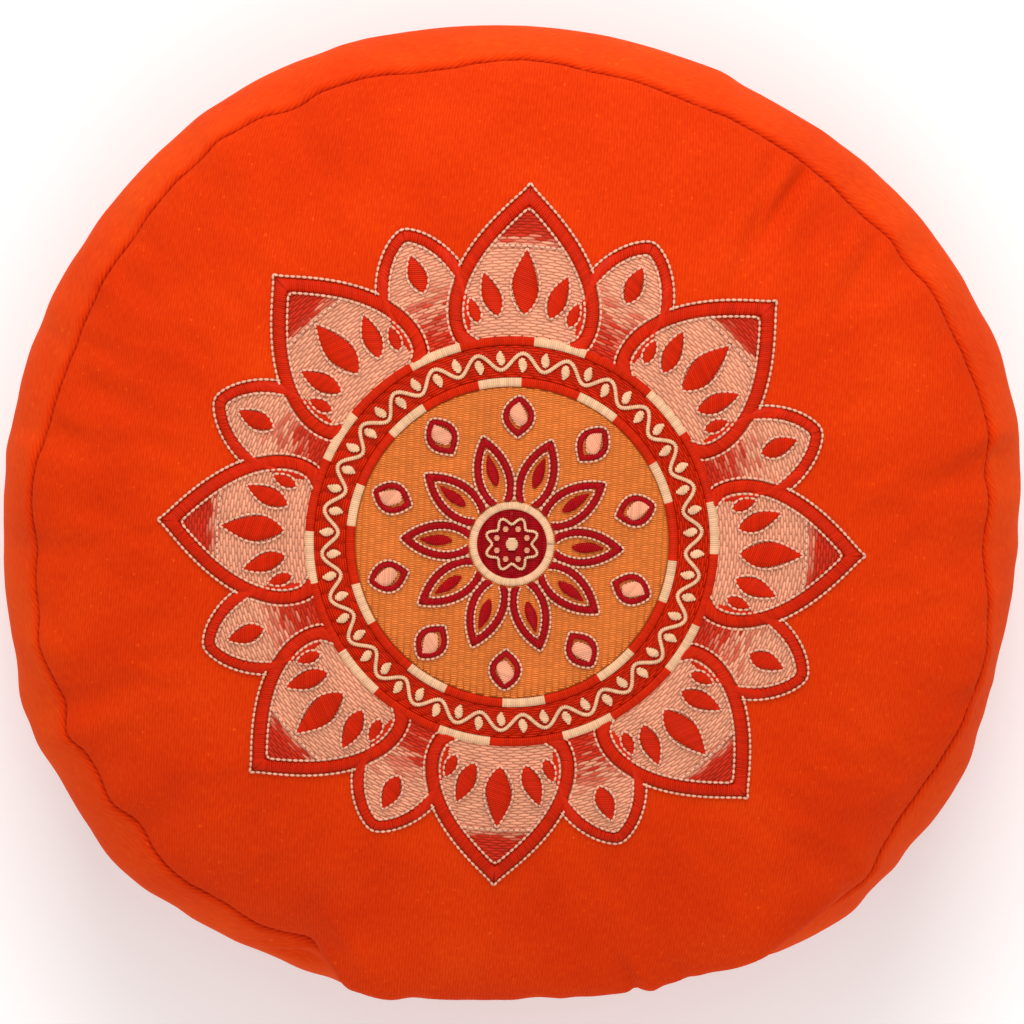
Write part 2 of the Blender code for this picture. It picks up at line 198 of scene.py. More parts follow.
# %% The sewing line and the fine trim of the outline
# Where the top seam turns: degrees round the cushion, and its distance from the axis
SEAM_TURNS = (
    (0, 150.2), (4.2, 152.7), (7, 151.0), (10.4, 154.0), (12.5, 154.7), (20, 154.0), (24, 152.8),
    (30, 153.3), (34, 150.7), (37.5, 151.1), (42.5, 149.0), (50, 148.6), (60, 147.6), (67.5, 146.5),
    (75, 147.3), (77.5, 146.9), (87.5, 148.6), (90, 148.7), (92.5, 148.0), (95, 147.9), (97.5, 146.8),
    (102.5, 147.4), (105, 149.4), (112.5, 150.6), (117, 149.0), (120.5, 152.2), (123.9, 152.1),
    (126.6, 153.9), (129.2, 151.9), (133.5, 152.2), (137.5, 151.1), (142.5, 150.1), (147.5, 150.4),
    (152.5, 149.2), (160, 148.5), (169, 149.4), (171.5, 151.3), (175, 151.5), (177.5, 151.4),
    (182.5, 149.5), (186.5, 151.3), (190, 151.3), (193, 153.9), (195, 153.8), (201, 150.8),
    (203.6, 154.3), (205.2, 156.3), (207, 152.6), (210, 151.9), (214.5, 154.3), (217.5, 151.7),
    (219, 150.8), (221.5, 152.8), (225, 153.7), (227.5, 153.6), (230, 151.9), (235, 150.7),
    (237.5, 150.9), (240, 149.7), (245, 146.7), (247.5, 151.2), (250.5, 156.1), (253, 153.4),
    (256, 151.2), (265, 148.4), (280, 148.6), (290, 151.4), (300, 155.9), (310, 158.4), (315, 160.9),
    (318, 159.3), (319.5, 157.4), (322, 155.9), (325, 155.4), (330, 155.8), (335, 156.5),
    (342.5, 156.8), (345, 156.7), (347.5, 155.4), (352.5, 153.2), (357.5, 150.0),
)
SEAM_ROUNDING = 1.2
SEAM_GATHER_SHARE = 0.3
# Where the outline stands out past its smooth sections or in from them: degrees and millimetres
OUTLINE_TURNS = (
    (0, -0.7), (10, -0.8), (20, 0.8), (25, -0.6), (35, 0.5), (40, 0.5), (45, 0.7), (65, 0.7),
    (125, -0.5), (130, -0.6), (145, 0.5), (165, -0.6), (170, -0.7), (185, 0.5), (195, -1.1),
    (200, 1.6), (210, -1.0), (215, -1.0), (225, -0.5), (230, -1.5), (235, -1.0), (240, -0.5),
    (245, 2.0), (250, -0.7), (255, 1.1), (260, -1.2), (280, 0.9), (285, 0.8), (300, 0.5),
    (310, 1.0), (315, -2.6), (320, -0.9), (325, -0.5), (335, -1.5), (340, -0.6), (345, -0.6),
)
OUTLINE_TURN_WIDTH = 3.0


def outline_trim(angle):
    """Fine correction of the outline: each of its turns times a narrow bell, added up."""
    return sum(out * bell(angle, at, OUTLINE_TURN_WIDTH) for at, out in OUTLINE_TURNS)


def sewing_line(angle):
    """Distance of the top seam: a broken line through its turns, rounded by a mean of near places."""
    turns = np.array(SEAM_TURNS)
    nearby = np.asarray(angle, dtype=float)[..., None] + SEAM_ROUNDING * np.linspace(-1.0, 1.0, 9)
    return np.interp(nearby, turns[:, 0], turns[:, 1], period=360.0).mean(axis=-1)


def seam_shift(angle):
    """How far the seam lies outside its section radius, with a share of the small even gathers."""
    return sewing_line(angle) - around("seam_radius", angle) + SEAM_GATHER_SHARE * gather_sum(angle)


print("seam turns:", len(SEAM_TURNS), "nearest", min(row[1] for row in SEAM_TURNS), "mm")

# %% [markdown]
# Four formulas give the whole cover: the top panel from the crown out to its seam, that seam, the side
# band down to the lower seam, and the base. Each is a function of the angle and of a share of the way,
# so a grid of both is the surface. A lathe would only give a round shape, and sculpting by hand could
# not be measured against the sewing. The panel comes first: an even dome that rolls over tightly beside
# its seam, a belly where it sags over that seam, and the creases of the folds.

# %% Formulas of the top panel
CROWN_HEIGHT = CROWN[2]
TOP_SEAM_HEIGHT = 112.0
DOME_POWER = 2.6
ROLL_RISE = 4.0
ROLL_POWER = 14.0
DOME_RISE = CROWN_HEIGHT - TOP_SEAM_HEIGHT - ROLL_RISE
EVEN_SHARE = 0.75
BELLY_PEAK = 0.93
BELLY_FOR_TRIM = 6.0
CREASE_FADE = 1.5
CREASE_AT_SEAM = 0.5
CREASE_HOLD = 4.0


def smooth_step(x):
    """Zero below 0, one above 1, and a soft S between them."""
    x = np.clip(x, 0.0, 1.0)
    return x * x * (3.0 - 2.0 * x)


def belly_shape(u):
    """Swell of the panel over its seam: an S up to its peak, then a quarter cosine back to the seam."""
    rise = smooth_step((u - EVEN_SHARE) / (BELLY_PEAK - EVEN_SHARE))
    fall = np.cos(0.5 * np.pi * np.clip((u - BELLY_PEAK) / (1.0 - BELLY_PEAK), 0.0, 1.0))
    return rise * fall


def crease_depth(u, angle):
    """How far the folds sink into the panel: each bell times a power of the share of its reach left.

    At the seam, which holds the cloth, only a share of that is left.
    """
    from_seam = (1.0 - u) * around("seam_radius", angle)
    held = 1.0 - (1.0 - CREASE_AT_SEAM) * np.exp(-((from_seam / CREASE_HOLD) ** 2))
    return held * sum(fold.crease * bell(angle, fold.angle, fold.width)
                      * np.clip(1.0 - from_seam / fold.reach, 0.0, 1.0) ** CREASE_FADE for fold in FOLDS)


def dome_height(u):
    """Height of the even dome: a broad fall by one power of u, and a tight one beside the seam."""
    return TOP_SEAM_HEIGHT + DOME_RISE * (1.0 - u**DOME_POWER) + ROLL_RISE * (1.0 - u**ROLL_POWER)


def panel(u, angle):
    """Top panel at share u of the way out: radius is u times the seam's, and height is the dome's."""
    outside = np.clip((u - EVEN_SHARE) / (1.0 - EVEN_SHARE), 0.0, 1.0)
    belly = around("belly", angle)
    belly = belly + outline_trim(angle) * smooth_step(belly / BELLY_FOR_TRIM)
    radius = u * around("seam_radius", angle) + belly * belly_shape(u)
    radius = radius + smooth_step(outside) * seam_shift(angle)
    sink = (TOP_SEAM_HEIGHT - around("seam_height", angle)) * outside**2
    return radius, dome_height(u) - sink - crease_depth(u, angle)


print("the dome rises", round(float(CROWN_HEIGHT - TOP_SEAM_HEIGHT), 1), "mm over its seam")

# %% [markdown]
# A seam is a line that two cloths share, so each seam is one function, and both cloths end on it. The
# band arches out between the seams, because the filling pushes it and the seams hold it. The base curls
# down from its seam and then lies flat, because the cushion stands on it.

# %% Formulas of the seams, the band and the base
BASE_SEAM_HEIGHT = 24.0
BASE_SEAM_DRAW = 2.5
BASE_GATHER_SHIFT = 17.0
FOLDS_AT_BASE = 0.6
BAND_FULLNESS = 2.3
BASE_FLAT_RADIUS = 122.0
BASE_ROUND_POWER = 2.0


def top_seam(angle):
    """The line where the panel meets the band: the sewing line, and its height less the creases."""
    radius = around("seam_radius", angle) + seam_shift(angle)
    return radius, around("seam_height", angle) - crease_depth(1.0, angle)


def base_seam(angle):
    """The line where the band meets the base: a little inside the top one, with the folds mirrored."""
    radius = around("seam_radius", angle) - BASE_SEAM_DRAW - FOLDS_AT_BASE * fold_sum("draw", -angle)
    return radius + gather_sum(angle + BASE_GATHER_SHIFT), np.full_like(radius, BASE_SEAM_HEIGHT)


def band(v, angle):
    """Side band at share v of the way down: a straight line between the seams plus a full arch."""
    top, top_height = top_seam(angle)
    low, low_height = base_seam(angle)
    bulge = around("reach", angle) + outline_trim(angle) + fold_sum("swell", angle) - 0.5 * (top + low)
    arch = 1.0 - np.abs(2.0 * v - 1.0) ** BAND_FULLNESS
    return top + (low - top) * v + bulge * arch, top_height + (low_height - top_height) * v


def base(w, angle):
    """Base panel at share w of the way in to the flat it rests on: height falls by a power of w."""
    radius, height = base_seam(angle)
    return radius + (BASE_FLAT_RADIUS - radius) * w, height * (1.0 - w) ** BASE_ROUND_POWER


low_seam = base_seam(np.arange(360.0))[0]
print("lower seam:", round(float(low_seam.mean()), 1), "mm from the axis on average")

# %% [markdown]
# The grid is fine only where it has to be: rows crowd together beside the two seams, where the cloth
# turns sharply, and lie far apart under the medallion. The fine grid has 768 columns, about 1.3 mm of
# cloth each.

# %% The grid of the cover
COLUMNS = 768
# Distances from a seam at which the rows beside it lie
NEAR_SEAM = np.array((0.25, 0.55, 0.9, 1.3, 1.8, 2.4, 3.2, 4.2, 5.5, 7.0))
SEAM_RADIUS = 150.0
BAND_LENGTH = 92.0
BASE_LENGTH = 38.0
PANEL_ROWS = np.concatenate((
    np.linspace(0.03, 0.70, 15), np.linspace(0.712, 0.948, 24), 1.0 - NEAR_SEAM[::-1] / SEAM_RADIUS))
BAND_ROWS = np.concatenate((
    NEAR_SEAM / BAND_LENGTH, np.linspace(0.095, 0.905, 36), 1.0 - NEAR_SEAM[::-1] / BAND_LENGTH))
BASE_ROWS = np.concatenate((NEAR_SEAM / BASE_LENGTH, np.linspace(0.25, 1.0, 8)))
# Where the last two rows lie on the flat of the base, as shares of its radius
FLAT_SHARES = np.array((0.66, 0.33))
TOP_SEAM_ROW = len(PANEL_ROWS)
BASE_SEAM_ROW = TOP_SEAM_ROW + 1 + len(BAND_ROWS)


def cover_grid(angle):
    """Points of the whole cover, rows from the crown down and columns round it: r cos a, r sin a, z."""
    seams = [np.stack(seam(angle)) for seam in (top_seam, base_seam)]
    flat = base(1.0, angle)
    parts = [
        np.stack(panel(PANEL_ROWS[:, None], angle)),
        seams[0][:, None],
        np.stack(band(BAND_ROWS[:, None], angle)),
        seams[1][:, None],
        np.stack(base(BASE_ROWS[:, None], angle)),
        np.stack((FLAT_SHARES[:, None] * flat[0], np.zeros((len(FLAT_SHARES), len(angle))))),
    ]
    radius, height = np.concatenate(parts, axis=1)
    turn = np.radians(angle)
    return np.stack((AXIS[0] + radius * np.cos(turn), AXIS[1] + radius * np.sin(turn), height), axis=-1)


def outward(grid):
    """Unit normals of a closed grid: the cross product of its steps round and its steps down."""
    round_step = np.roll(grid, -1, axis=1) - np.roll(grid, 1, axis=1)
    down_step = np.gradient(grid, axis=0)
    normal = np.cross(down_step, round_step)
    return normal / np.linalg.norm(normal, axis=-1, keepdims=True)


def run_length(grid):
    """Length of cloth from the first row down to each row, along each column."""
    steps = np.linalg.norm(np.diff(grid, axis=0), axis=-1)
    return np.vstack((np.zeros(grid.shape[1]), np.cumsum(steps, axis=0)))


column_angle = np.arange(COLUMNS) * 360.0 / COLUMNS
cover = cover_grid(column_angle)
print("cover grid:", cover.shape[0], "rows by", cover.shape[1], "columns")

# %% [markdown]
# The soft swells between the folds come from a cloth simulation, as stuffed cloth makes them. It runs
# on a coarse copy of the cover, with rows about 4 mm apart and both seams among them. The copy is
# closed at its two poles, because only a closed form can be blown up by pressure.

# %% A coarse copy to settle
SETTLE_STEP = 4.2
POLES = np.array(((*AXIS, CROWN_HEIGHT), (*AXIS, 0.0)))


def settle_rows(grid):
    """Rows of the fine grid that lie about one settling step apart, with both seams among them."""
    depth = run_length(grid).mean(axis=1)
    kept = [0]
    for row in range(1, len(depth)):
        if depth[row] - depth[kept[-1]] >= SETTLE_STEP or row in (TOP_SEAM_ROW, BASE_SEAM_ROW):
            kept.append(row)
    return np.array(kept)


def closed_faces(rows, columns):
    """Quads of a grid that closes on itself, and the two fans that join its ends to the poles."""
    here = np.arange(columns)
    after = (here + 1) % columns
    above = np.arange(rows - 1)[:, None] * columns
    below = above + columns
    quads = np.stack((above + here, below + here, below + after, above + after), axis=-1).reshape(-1, 4)
    top_pole = rows * columns
    last = (rows - 1) * columns
    fans = np.vstack((np.stack((np.full(columns, top_pole), here, after), axis=-1),
                      np.stack((np.full(columns, top_pole + 1), last + after, last + here), axis=-1)))
    return quads, fans


print("rows of the coarse copy:", len(settle_rows(cover)))

# %% [markdown]
# The copy is cut a little too large, pinned, and blown up by pressure. Twill hardly stretches, but it
# bends easily, and its settings say so. Gravity is off, because the filling carries the cloth from
# within, and nothing touches the copy, so it needs no collisions.

# %% Settle the cloth under pressure
SETTLE_FRAMES = 20
PRESSURE = 4.0
CLOTH_EXCESS = 0.03
CLOTH = {
    "quality": 6, "mass": 0.15, "tension_stiffness": 25.0, "compression_stiffness": 12.0,
    "shear_stiffness": 8.0, "bending_stiffness": 0.3, "shrink_min": -CLOTH_EXCESS,
    "use_pressure": True, "uniform_pressure_force": PRESSURE, "vertex_group_mass": "pins",
}


def settled(grid, pinned_rows):
    """Runs the cloth simulation on a coarse closed grid and gives where each of its points went."""
    rows, columns = grid.shape[:2]
    quads, fans = closed_faces(rows, columns)
    mesh = bpy.data.meshes.new("settling_cover")
    points = np.vstack((grid.reshape(-1, 3), POLES)) * METRE
    mesh.from_pydata(points.tolist(), [], quads.tolist() + fans.tolist())
    cover_object = bpy.data.objects.new("settling_cover", mesh)
    scene = bpy.context.scene
    scene.collection.objects.link(cover_object)
    pins = cover_object.vertex_groups.new(name="pins")
    pinned = (pinned_rows[:, None] * columns + np.arange(columns)).ravel()
    pins.add(pinned.tolist() + [rows * columns, rows * columns + 1], 1.0, "REPLACE")
    cloth = cover_object.modifiers.new("cloth", "CLOTH")
    for name, value in CLOTH.items():
        setattr(cloth.settings, name, value)
    cloth.settings.effector_weights.gravity = 0.0
    cloth.collision_settings.use_collision = False
    cloth.collision_settings.use_self_collision = False
    cloth.point_cache.frame_start = 1
    cloth.point_cache.frame_end = SETTLE_FRAMES
    for step in range(1, SETTLE_FRAMES + 1):
        scene.frame_set(step)
    shaped = cover_object.evaluated_get(bpy.context.evaluated_depsgraph_get()).to_mesh()
    points = mesh_points(shaped)
    scene.frame_set(1)
    bpy.data.objects.remove(cover_object)
    return points[:rows * columns].reshape(rows, columns, 3)


print("pressure", PRESSURE, "on a cloth cut", round(100.0 * CLOTH_EXCESS), "% too large")

# %% [markdown]
# Only the wrinkles are kept from the simulation. Its pins are the seams, the part of the panel that the
# stiff medallion holds, and the flat of the base. The slow part of its movement is taken out, because
# the measured outline already has it. Of the rest only a share is kept, because this cover is filled
# taut, and no point moves further than a cap.

# %% Keep the wrinkles
SETTLE_COLUMNS = 192
STIFF_SHARE = 0.72
RESTING_ROWS = 4
SLOW_TURNS = 7
PANEL_SHARE = 0.32
BAND_SHARE = 0.14
WRINKLE_CAP = 0.8


def wrinkles(grid):
    """Outward movement of the fine grid: the settled cloth's, without its slow turns and capped.

    Round the cushion it is resampled by its Fourier series, and between rows it runs straight. The cap
    is a hyperbolic tangent.
    """
    rows = settle_rows(grid)
    stride = COLUMNS // SETTLE_COLUMNS
    coarse = grid[rows][:, ::stride]
    last_free = BASE_SEAM_ROW + len(BASE_ROWS) - RESTING_ROWS
    free = (rows > np.searchsorted(PANEL_ROWS, STIFF_SHARE)) & (rows < last_free)
    free &= (rows != TOP_SEAM_ROW) & (rows != BASE_SEAM_ROW)
    moved = settled(coarse, np.flatnonzero(~free)) - coarse
    out = (moved * outward(coarse)).sum(axis=-1)
    series = np.fft.rfft(out, axis=1)
    series[:, :SLOW_TURNS] = 0.0
    out = np.fft.irfft(series, n=COLUMNS, axis=1) * stride
    place = np.arange(len(grid))
    between = np.stack([np.interp(place, rows, unit) for unit in np.eye(len(rows))], axis=1)
    share = np.where(place < TOP_SEAM_ROW, PANEL_SHARE, BAND_SHARE)[:, None]
    out = between @ out
    print("settled cloth moved up to", round(float(np.abs(out).max()), 2), "mm before its cap")
    return WRINKLE_CAP * np.tanh(share * out / WRINKLE_CAP)


cover = cover + outward(cover) * wrinkles(cover)[..., None]

# %% [markdown]
# Then come the creases and ripples that are listed one by one, and that no rule gives. Each is a
# long bell: its middle in plan, the way it lies, half its length and width, and how high it stands, or
# how deep if the number is negative. It acts along the surface's own normal.

# %% Single creases and ripples
SEAM_HOLD = 2.0
SHARED_ZONE = 4.0
Ripple = namedtuple("Ripple", "x y lean length width height")
RIPPLES = [Ripple(*row) for row in (
    (88.5, 107.5, 55, 14.0, 1.9, -1.8),
    (84.5, 110.0, 55, 12.0, 2.4, 1.0),
    (78.0, 111.0, 56, 10.0, 2.4, -0.8),
    (77.0, 101.0, 66, 9.0, 1.9, -0.8),
    (92.5, 105.0, 55, 11.0, 2.6, 0.7),
    (78.0, 93.5, 57, 20.0, 4.2, -1.3),
    (68.0, 96.0, 57, 18.0, 5.0, 0.5),
    (111.0, 85.0, 53, 15.0, 3.6, -1.5),
    (105.0, 89.5, 54, 14.0, 3.8, 0.7),
    (119.0, 74.0, 48, 12.0, 4.0, 0.4),
    (96.0, 96.0, 52, 10.0, 3.2, -0.5),
    (152.5, 29.5, 4, 6.5, 2.6, 1.1),
    (151.5, 22.5, 2, 6.5, 2.1, -1.3),
    (141.0, 19.0, 40, 12.0, 4.5, -0.6),
    (-152.5, 25.5, -8, 5.0, 3.0, 0.9),
    (-130.0, 58.0, -18, 12.0, 3.6, -0.7),
    (-128.0, 50.5, -18, 12.0, 3.4, 0.5),
    (-130.0, 43.5, -14, 12.0, 3.6, -0.7),
    (-131.0, 35.0, -10, 12.0, 3.4, 0.4),
    (-139.0, 30.5, -8, 10.0, 3.2, -0.6),
    (-127.0, 10.0, 4, 18.0, 5.0, -0.35),
    (-56.0, -134.0, -62, 7.0, 3.2, -1.1),
    (-74.3, -136.4, 5, 11.0, 1.6, 1.5),
    (-70.5, -139.8, -10, 9.0, 1.7, -2.2),
    (-48.0, -137.0, -68, 8.0, 3.4, 0.7),
    (-18.0, -141.0, 48, 6.0, 3.0, -0.6),
    (38.0, -146.0, 115, 9.0, 1.9, -1.7),
    (44.0, -146.5, 122, 9.0, 2.4, 1.0),
    (54.0, -142.0, 128, 9.0, 2.6, -1.2),
    (-34.0, 139.0, 105, 8.0, 2.4, -0.6),
    (148.0, -50.0, -20, 10.0, 3.0, 0.5),
    (143.0, -58.0, 62, 10.0, 1.8, -0.8),
    (128.0, -84.0, 40, 10.0, 3.4, -0.4),
    (112.0, -103.0, 128, 12.0, 3.6, -0.5),
    (20.0, 141.0, 84, 9.0, 3.0, 0.4),
    (60.0, 132.0, 66, 10.0, 3.0, -0.4),
    (-100.0, -106.0, 46, 11.0, 3.4, -0.4),
)]


def turned(x, y, degrees):
    """Plan points turned anticlockwise: x cos - y sin, x sin + y cos."""
    turn = np.radians(degrees)
    return x * np.cos(turn) - y * np.sin(turn), x * np.sin(turn) + y * np.cos(turn)


def own_cloth(x, y, rows):
    """True on the rows of the cloth that a ripple lies on, and on all rows if it is near the seam."""
    beyond = np.hypot(x, y) - top_seam(np.degrees(np.arctan2([y], [x])))[0][0]
    on_panel = np.arange(rows) < TOP_SEAM_ROW
    return np.where(on_panel, beyond < SHARED_ZONE, beyond > -SHARED_ZONE)[:, None]


def ripple_height(grid):
    """All ripples added up: each is a bell along its length times a bell across it, seen from above.

    They die out at the seam, which holds the cloth.
    """
    total = np.zeros(grid.shape[:2])
    for ripple in RIPPLES:
        x, y = turned(grid[..., 0] - ripple.x, grid[..., 1] - ripple.y, -ripple.lean)
        mound = np.exp(-((x / ripple.length) ** 2) - (y / ripple.width) ** 2)
        total += ripple.height * mound * own_cloth(ripple.x - AXIS[0], ripple.y - AXIS[1], len(grid))
    total[BASE_SEAM_ROW + len(BASE_ROWS) // 2:] = 0.0
    run = run_length(grid)
    return total * (1.0 - np.exp(-(((run - run[TOP_SEAM_ROW]) / SEAM_HOLD) ** 2)))


cover = cover + outward(cover) * ripple_height(cover)[..., None]
print("ripples:", len(RIPPLES))

# %% [markdown]
# Both seams are sewn from inside, so from outside each is a narrow crease where two cloths dive under.
# The crease is pressed in along the surface's own normal, by a depth that depends only on how much
# cloth lies between a point and the seam: a sharp middle, and a soft shoulder wider on the panel.

# %% Press in the sewn seams
CREASE_CORE = 1.3
CORE_WIDTH = 0.6
SHOULDER = 0.35
SHOULDER_WIDTH = 2.6
EDGE_ROLL = 0.25
EDGE_ROLL_AT = 2.6
EDGE_ROLL_WIDTH = 1.4


def seam_depth(distance):
    """Depth of a sewn seam: a sharp exponential core and a bell for its shoulders."""
    core = CREASE_CORE * np.exp(-np.abs(distance) / CORE_WIDTH)
    return core + SHOULDER * np.exp(-((distance / SHOULDER_WIDTH) ** 2))


def edge_roll(distance):
    """Low roll of the band's edge, a bell a few millimetres past the seam, where the allowance lies."""
    return EDGE_ROLL * np.exp(-(((distance - EDGE_ROLL_AT) / EDGE_ROLL_WIDTH) ** 2))


depth_down = run_length(cover)
from_top_seam = depth_down - depth_down[TOP_SEAM_ROW]
from_base_seam = depth_down - depth_down[BASE_SEAM_ROW]
pressed = (seam_depth(from_top_seam) + seam_depth(from_base_seam)
           - edge_roll(from_top_seam) - edge_roll(-from_base_seam))
pressed[BASE_SEAM_ROW + len(BASE_ROWS):] = 0.0
cover = cover - outward(cover) * pressed[..., None]
cover[..., 2] = np.maximum(cover[..., 2], 0.0)
print("seam crease depth", round(float(pressed.max()), 2), "mm")

# %% [markdown]
# A woven cloth needs a map that lies on it as the cloth does. Both panels get polar maps with their
# true run of cloth from the middle. The band gets one turned to its own cut, so that the ribs meet the
# seam aslant, and spread a little, because the seam pulls its cloth on the bias and opens the ribs. The
# map's first axis always runs across the ribs, in metres.

# %% Map of the cloth
PANEL_RIB_TURN = 6.0
BAND_RIB_TURN = 32.0
BAND_RIB_SPREAD = 1.45
MAP_RADIUS = 160.0


def closed_columns(values):
    """A grid's values with its first column repeated as its last, where the map has its cut."""
    return np.concatenate((values, values[:, :1]), axis=1)


def cloth_maps():
    """The three maps, for panel, band and base: true run of cloth, turned to each piece's cut."""
    run = closed_columns(run_length(cover)) + PANEL_ROWS[0] * SEAM_RADIUS
    turn = np.radians(np.linspace(0.0, 360.0, COLUMNS + 1))
    top = np.stack(turned(run * np.cos(turn), run * np.sin(turn), PANEL_RIB_TURN), axis=-1)
    along = np.broadcast_to(MAP_RADIUS * turn, run.shape)
    down = run - run[TOP_SEAM_ROW]
    slant = np.radians(BAND_RIB_TURN)
    side = np.stack((along * np.sin(slant) + down * np.cos(slant),
                     down * np.sin(slant) - along * np.cos(slant)), axis=-1) / BAND_RIB_SPREAD
    back = run[-1] - run + FLAT_SHARES[-1] * BASE_FLAT_RADIUS
    under = np.stack((back * np.cos(turn), -back * np.sin(turn)), axis=-1)
    return top, side, under


def corner_map():
    """Map of every face corner, row by row, in the order in which closed_faces lists the quads."""
    top, side, under = cloth_maps()
    corners = []
    for grid in (top, side, under):
        above, below = grid[:-1], grid[1:]
        corners.append(np.stack((above[:, :-1], below[:, :-1], below[:, 1:], above[:, 1:]), axis=2))
    row = np.arange(cover.shape[0] - 1)[:, None, None, None]
    chosen = np.where(row < BASE_SEAM_ROW, corners[1], corners[2])
    chosen = np.where(row < TOP_SEAM_ROW, corners[0], chosen)
    pole = np.zeros((COLUMNS, 2))
    first = np.stack((pole, top[0, :-1], top[0, 1:]), axis=1)
    last = np.stack((pole, under[-1, 1:], under[-1, :-1]), axis=1)
    return np.vstack((chosen.reshape(-1, 2), first.reshape(-1, 2), last.reshape(-1, 2)))


cloth_corners = corner_map()
print("cloth map:", len(cloth_corners), "face corners, ribs of the band turned", BAND_RIB_TURN, "degrees")

# %% [markdown]
# The real cover is sewn shut over its filling, so it becomes one closed mesh. Two numbers go with each
# of its points, for the cloth: how strongly the ribs stand out, which is less on the stretched band,
# where the twill is also painted lighter as painted sheen, and how near the sewn seam is, which sets the
# painted shade there.

# %% The cushion
SEAM_RIB_AND_SHADE_LENGTH = 1.5
# Rib strength on the band; what the band lacks of it is painted lighter in the twill, as painted sheen
BAND_RIB = 0.25


def mesh_object(name, points, quads, fans, map_name, corners, fields):
    """A smooth object from points in millimetres, a map of its corners and numbers for its points."""
    mesh = bpy.data.meshes.new(name)
    mesh.from_pydata((points * METRE).tolist(), [], quads.tolist() + fans.tolist())
    corner_values = mesh.uv_layers.new(name=map_name)
    corner_values.uv.foreach_set("vector", (corners * METRE).astype(np.float32).ravel())
    for label, values in fields.items():
        field = mesh.attributes.new(label, "FLOAT", "POINT")
        field.data.foreach_set("value", values.astype(np.float32))
    mesh.shade_smooth()
    made = bpy.data.objects.new(name, mesh)
    bpy.context.scene.collection.objects.link(made)
    print(f"{name}: {len(points)} points, {2 * len(quads) + len(fans)} triangles")
    return made


row_number = np.arange(len(cover))[:, None]
on_band = (row_number >= TOP_SEAM_ROW) & (row_number <= BASE_SEAM_ROW)
# How near the top seam lies: it strengthens the band's ribs there, and the twill paints shade by it in the
# marks and the line at the seam
near = np.exp(-from_top_seam / SEAM_RIB_AND_SHADE_LENGTH) * (from_top_seam > 0.0)
rib = np.where(on_band, BAND_RIB + (1.0 - BAND_RIB) * near, 1.0)
cushion = mesh_object(
    "cushion_cover", np.vstack((cover.reshape(-1, 3), POLES)), *closed_faces(*cover.shape[:2]),
    "cloth", cloth_corners, {"rib": np.append(rib.ravel(), (rib[0, 0], 1.0)),
                             "seam": np.append(near.ravel(), (near[0, 0], 1.0))})
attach(cushion, ROOT)
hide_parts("cushion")

# %% [markdown]
# Colours are written as they look, in hex, and turned to linear light by one function. One more
# function adds a node with its settings and links. The rest of a material is sums of patterns, each
# with its share, so a small helper adds those up.

# %% Colour and node helpers
def linear(hex_colour):
    """An sRGB hex colour as linear light: a straight part below 0.04045 and a 2.4 power above."""
    parts = np.array([int(hex_colour[i:i + 2], 16) for i in (1, 3, 5)]) / 255.0
    light = np.where(parts <= 0.04045, parts / 12.92, ((parts + 0.055) / 1.055) ** 2.4)
    return (*light.tolist(), 1.0)


def add_node(tree, kind, inputs=None, **settings):
    """Adds one node. Settings are its own properties, and inputs are values, or sockets to link."""
    made = tree.nodes.new(kind)
    for name, value in settings.items():
        setattr(made, name, value)
    for socket, value in (inputs or {}).items():
        if isinstance(value, bpy.types.NodeSocket):
            tree.links.new(value, made.inputs[socket])
        else:
            made.inputs[socket].default_value = value
    return made


def weighted(tree, start, *terms):
    """A starting value plus each of some values times its share. Each of them may be a socket."""
    total = start
    for value, share in terms:
        total = add_node(tree, "ShaderNodeMath", {0: value, 1: share, 2: total},
                         operation="MULTIPLY_ADD").outputs[0]
    return total


def set_stops(ramp, stops):
    """Gives a node's run of colours its stops: places from 0 to 1 with their hex colours."""
    elements = ramp.color_ramp.elements
    while len(elements) < len(stops):
        elements.new(0.5)
    for element, (place, colour) in zip(elements, stops):
        element.position = place
        element.color = linear(colour)


def new_material(name, **sockets):
    """A material whose shader has these constant values, and its node tree and shader."""
    made = bpy.data.materials.new(name)
    made.use_nodes = True
    shader = made.node_tree.nodes["Principled BSDF"]
    for socket, value in sockets.items():
        shader.inputs[socket.replace("_", " ")].default_value = value
    return made, made.node_tree, shader


WAVE_PER_METRE = 2.0 * np.pi / 20.0


def wave_scale(pitch):
    """Scale of a Wave Texture whose bands lie this many millimetres apart."""
    return WAVE_PER_METRE / (pitch * METRE)


print("twill in linear light:", [round(part, 3) for part in linear("#d83d05")[:3]])

# %% [markdown]
# The cover is dyed cotton twill. Its ribs lie 0.95 mm apart, as counted in the photo, and it is dull,
# with the faint bloom that brushed cotton shows where it turns away. Three things make it: the rib
# itself, slubs stretched along it as spun yarn has them, and slow changes of dye. Where the band dives
# into its seam, its ribs are painted darker as painted shade, which draws the short slanted marks there.

# %% Patterns of the twill
RIB_PITCH = 0.95
PICK_PITCH = 0.5
# Patterns for each metre: a slub every 0.8 mm, a fleck every 1.6 mm and a cloud of dye every 33 mm
SLUBS = 1300.0
FLECKS = 620.0
DYE_CLOUDS = 30.0
SLUB_STRETCH = 0.3

Patterns = namedtuple("Patterns", "rib pick slub fleck dye strength seam")


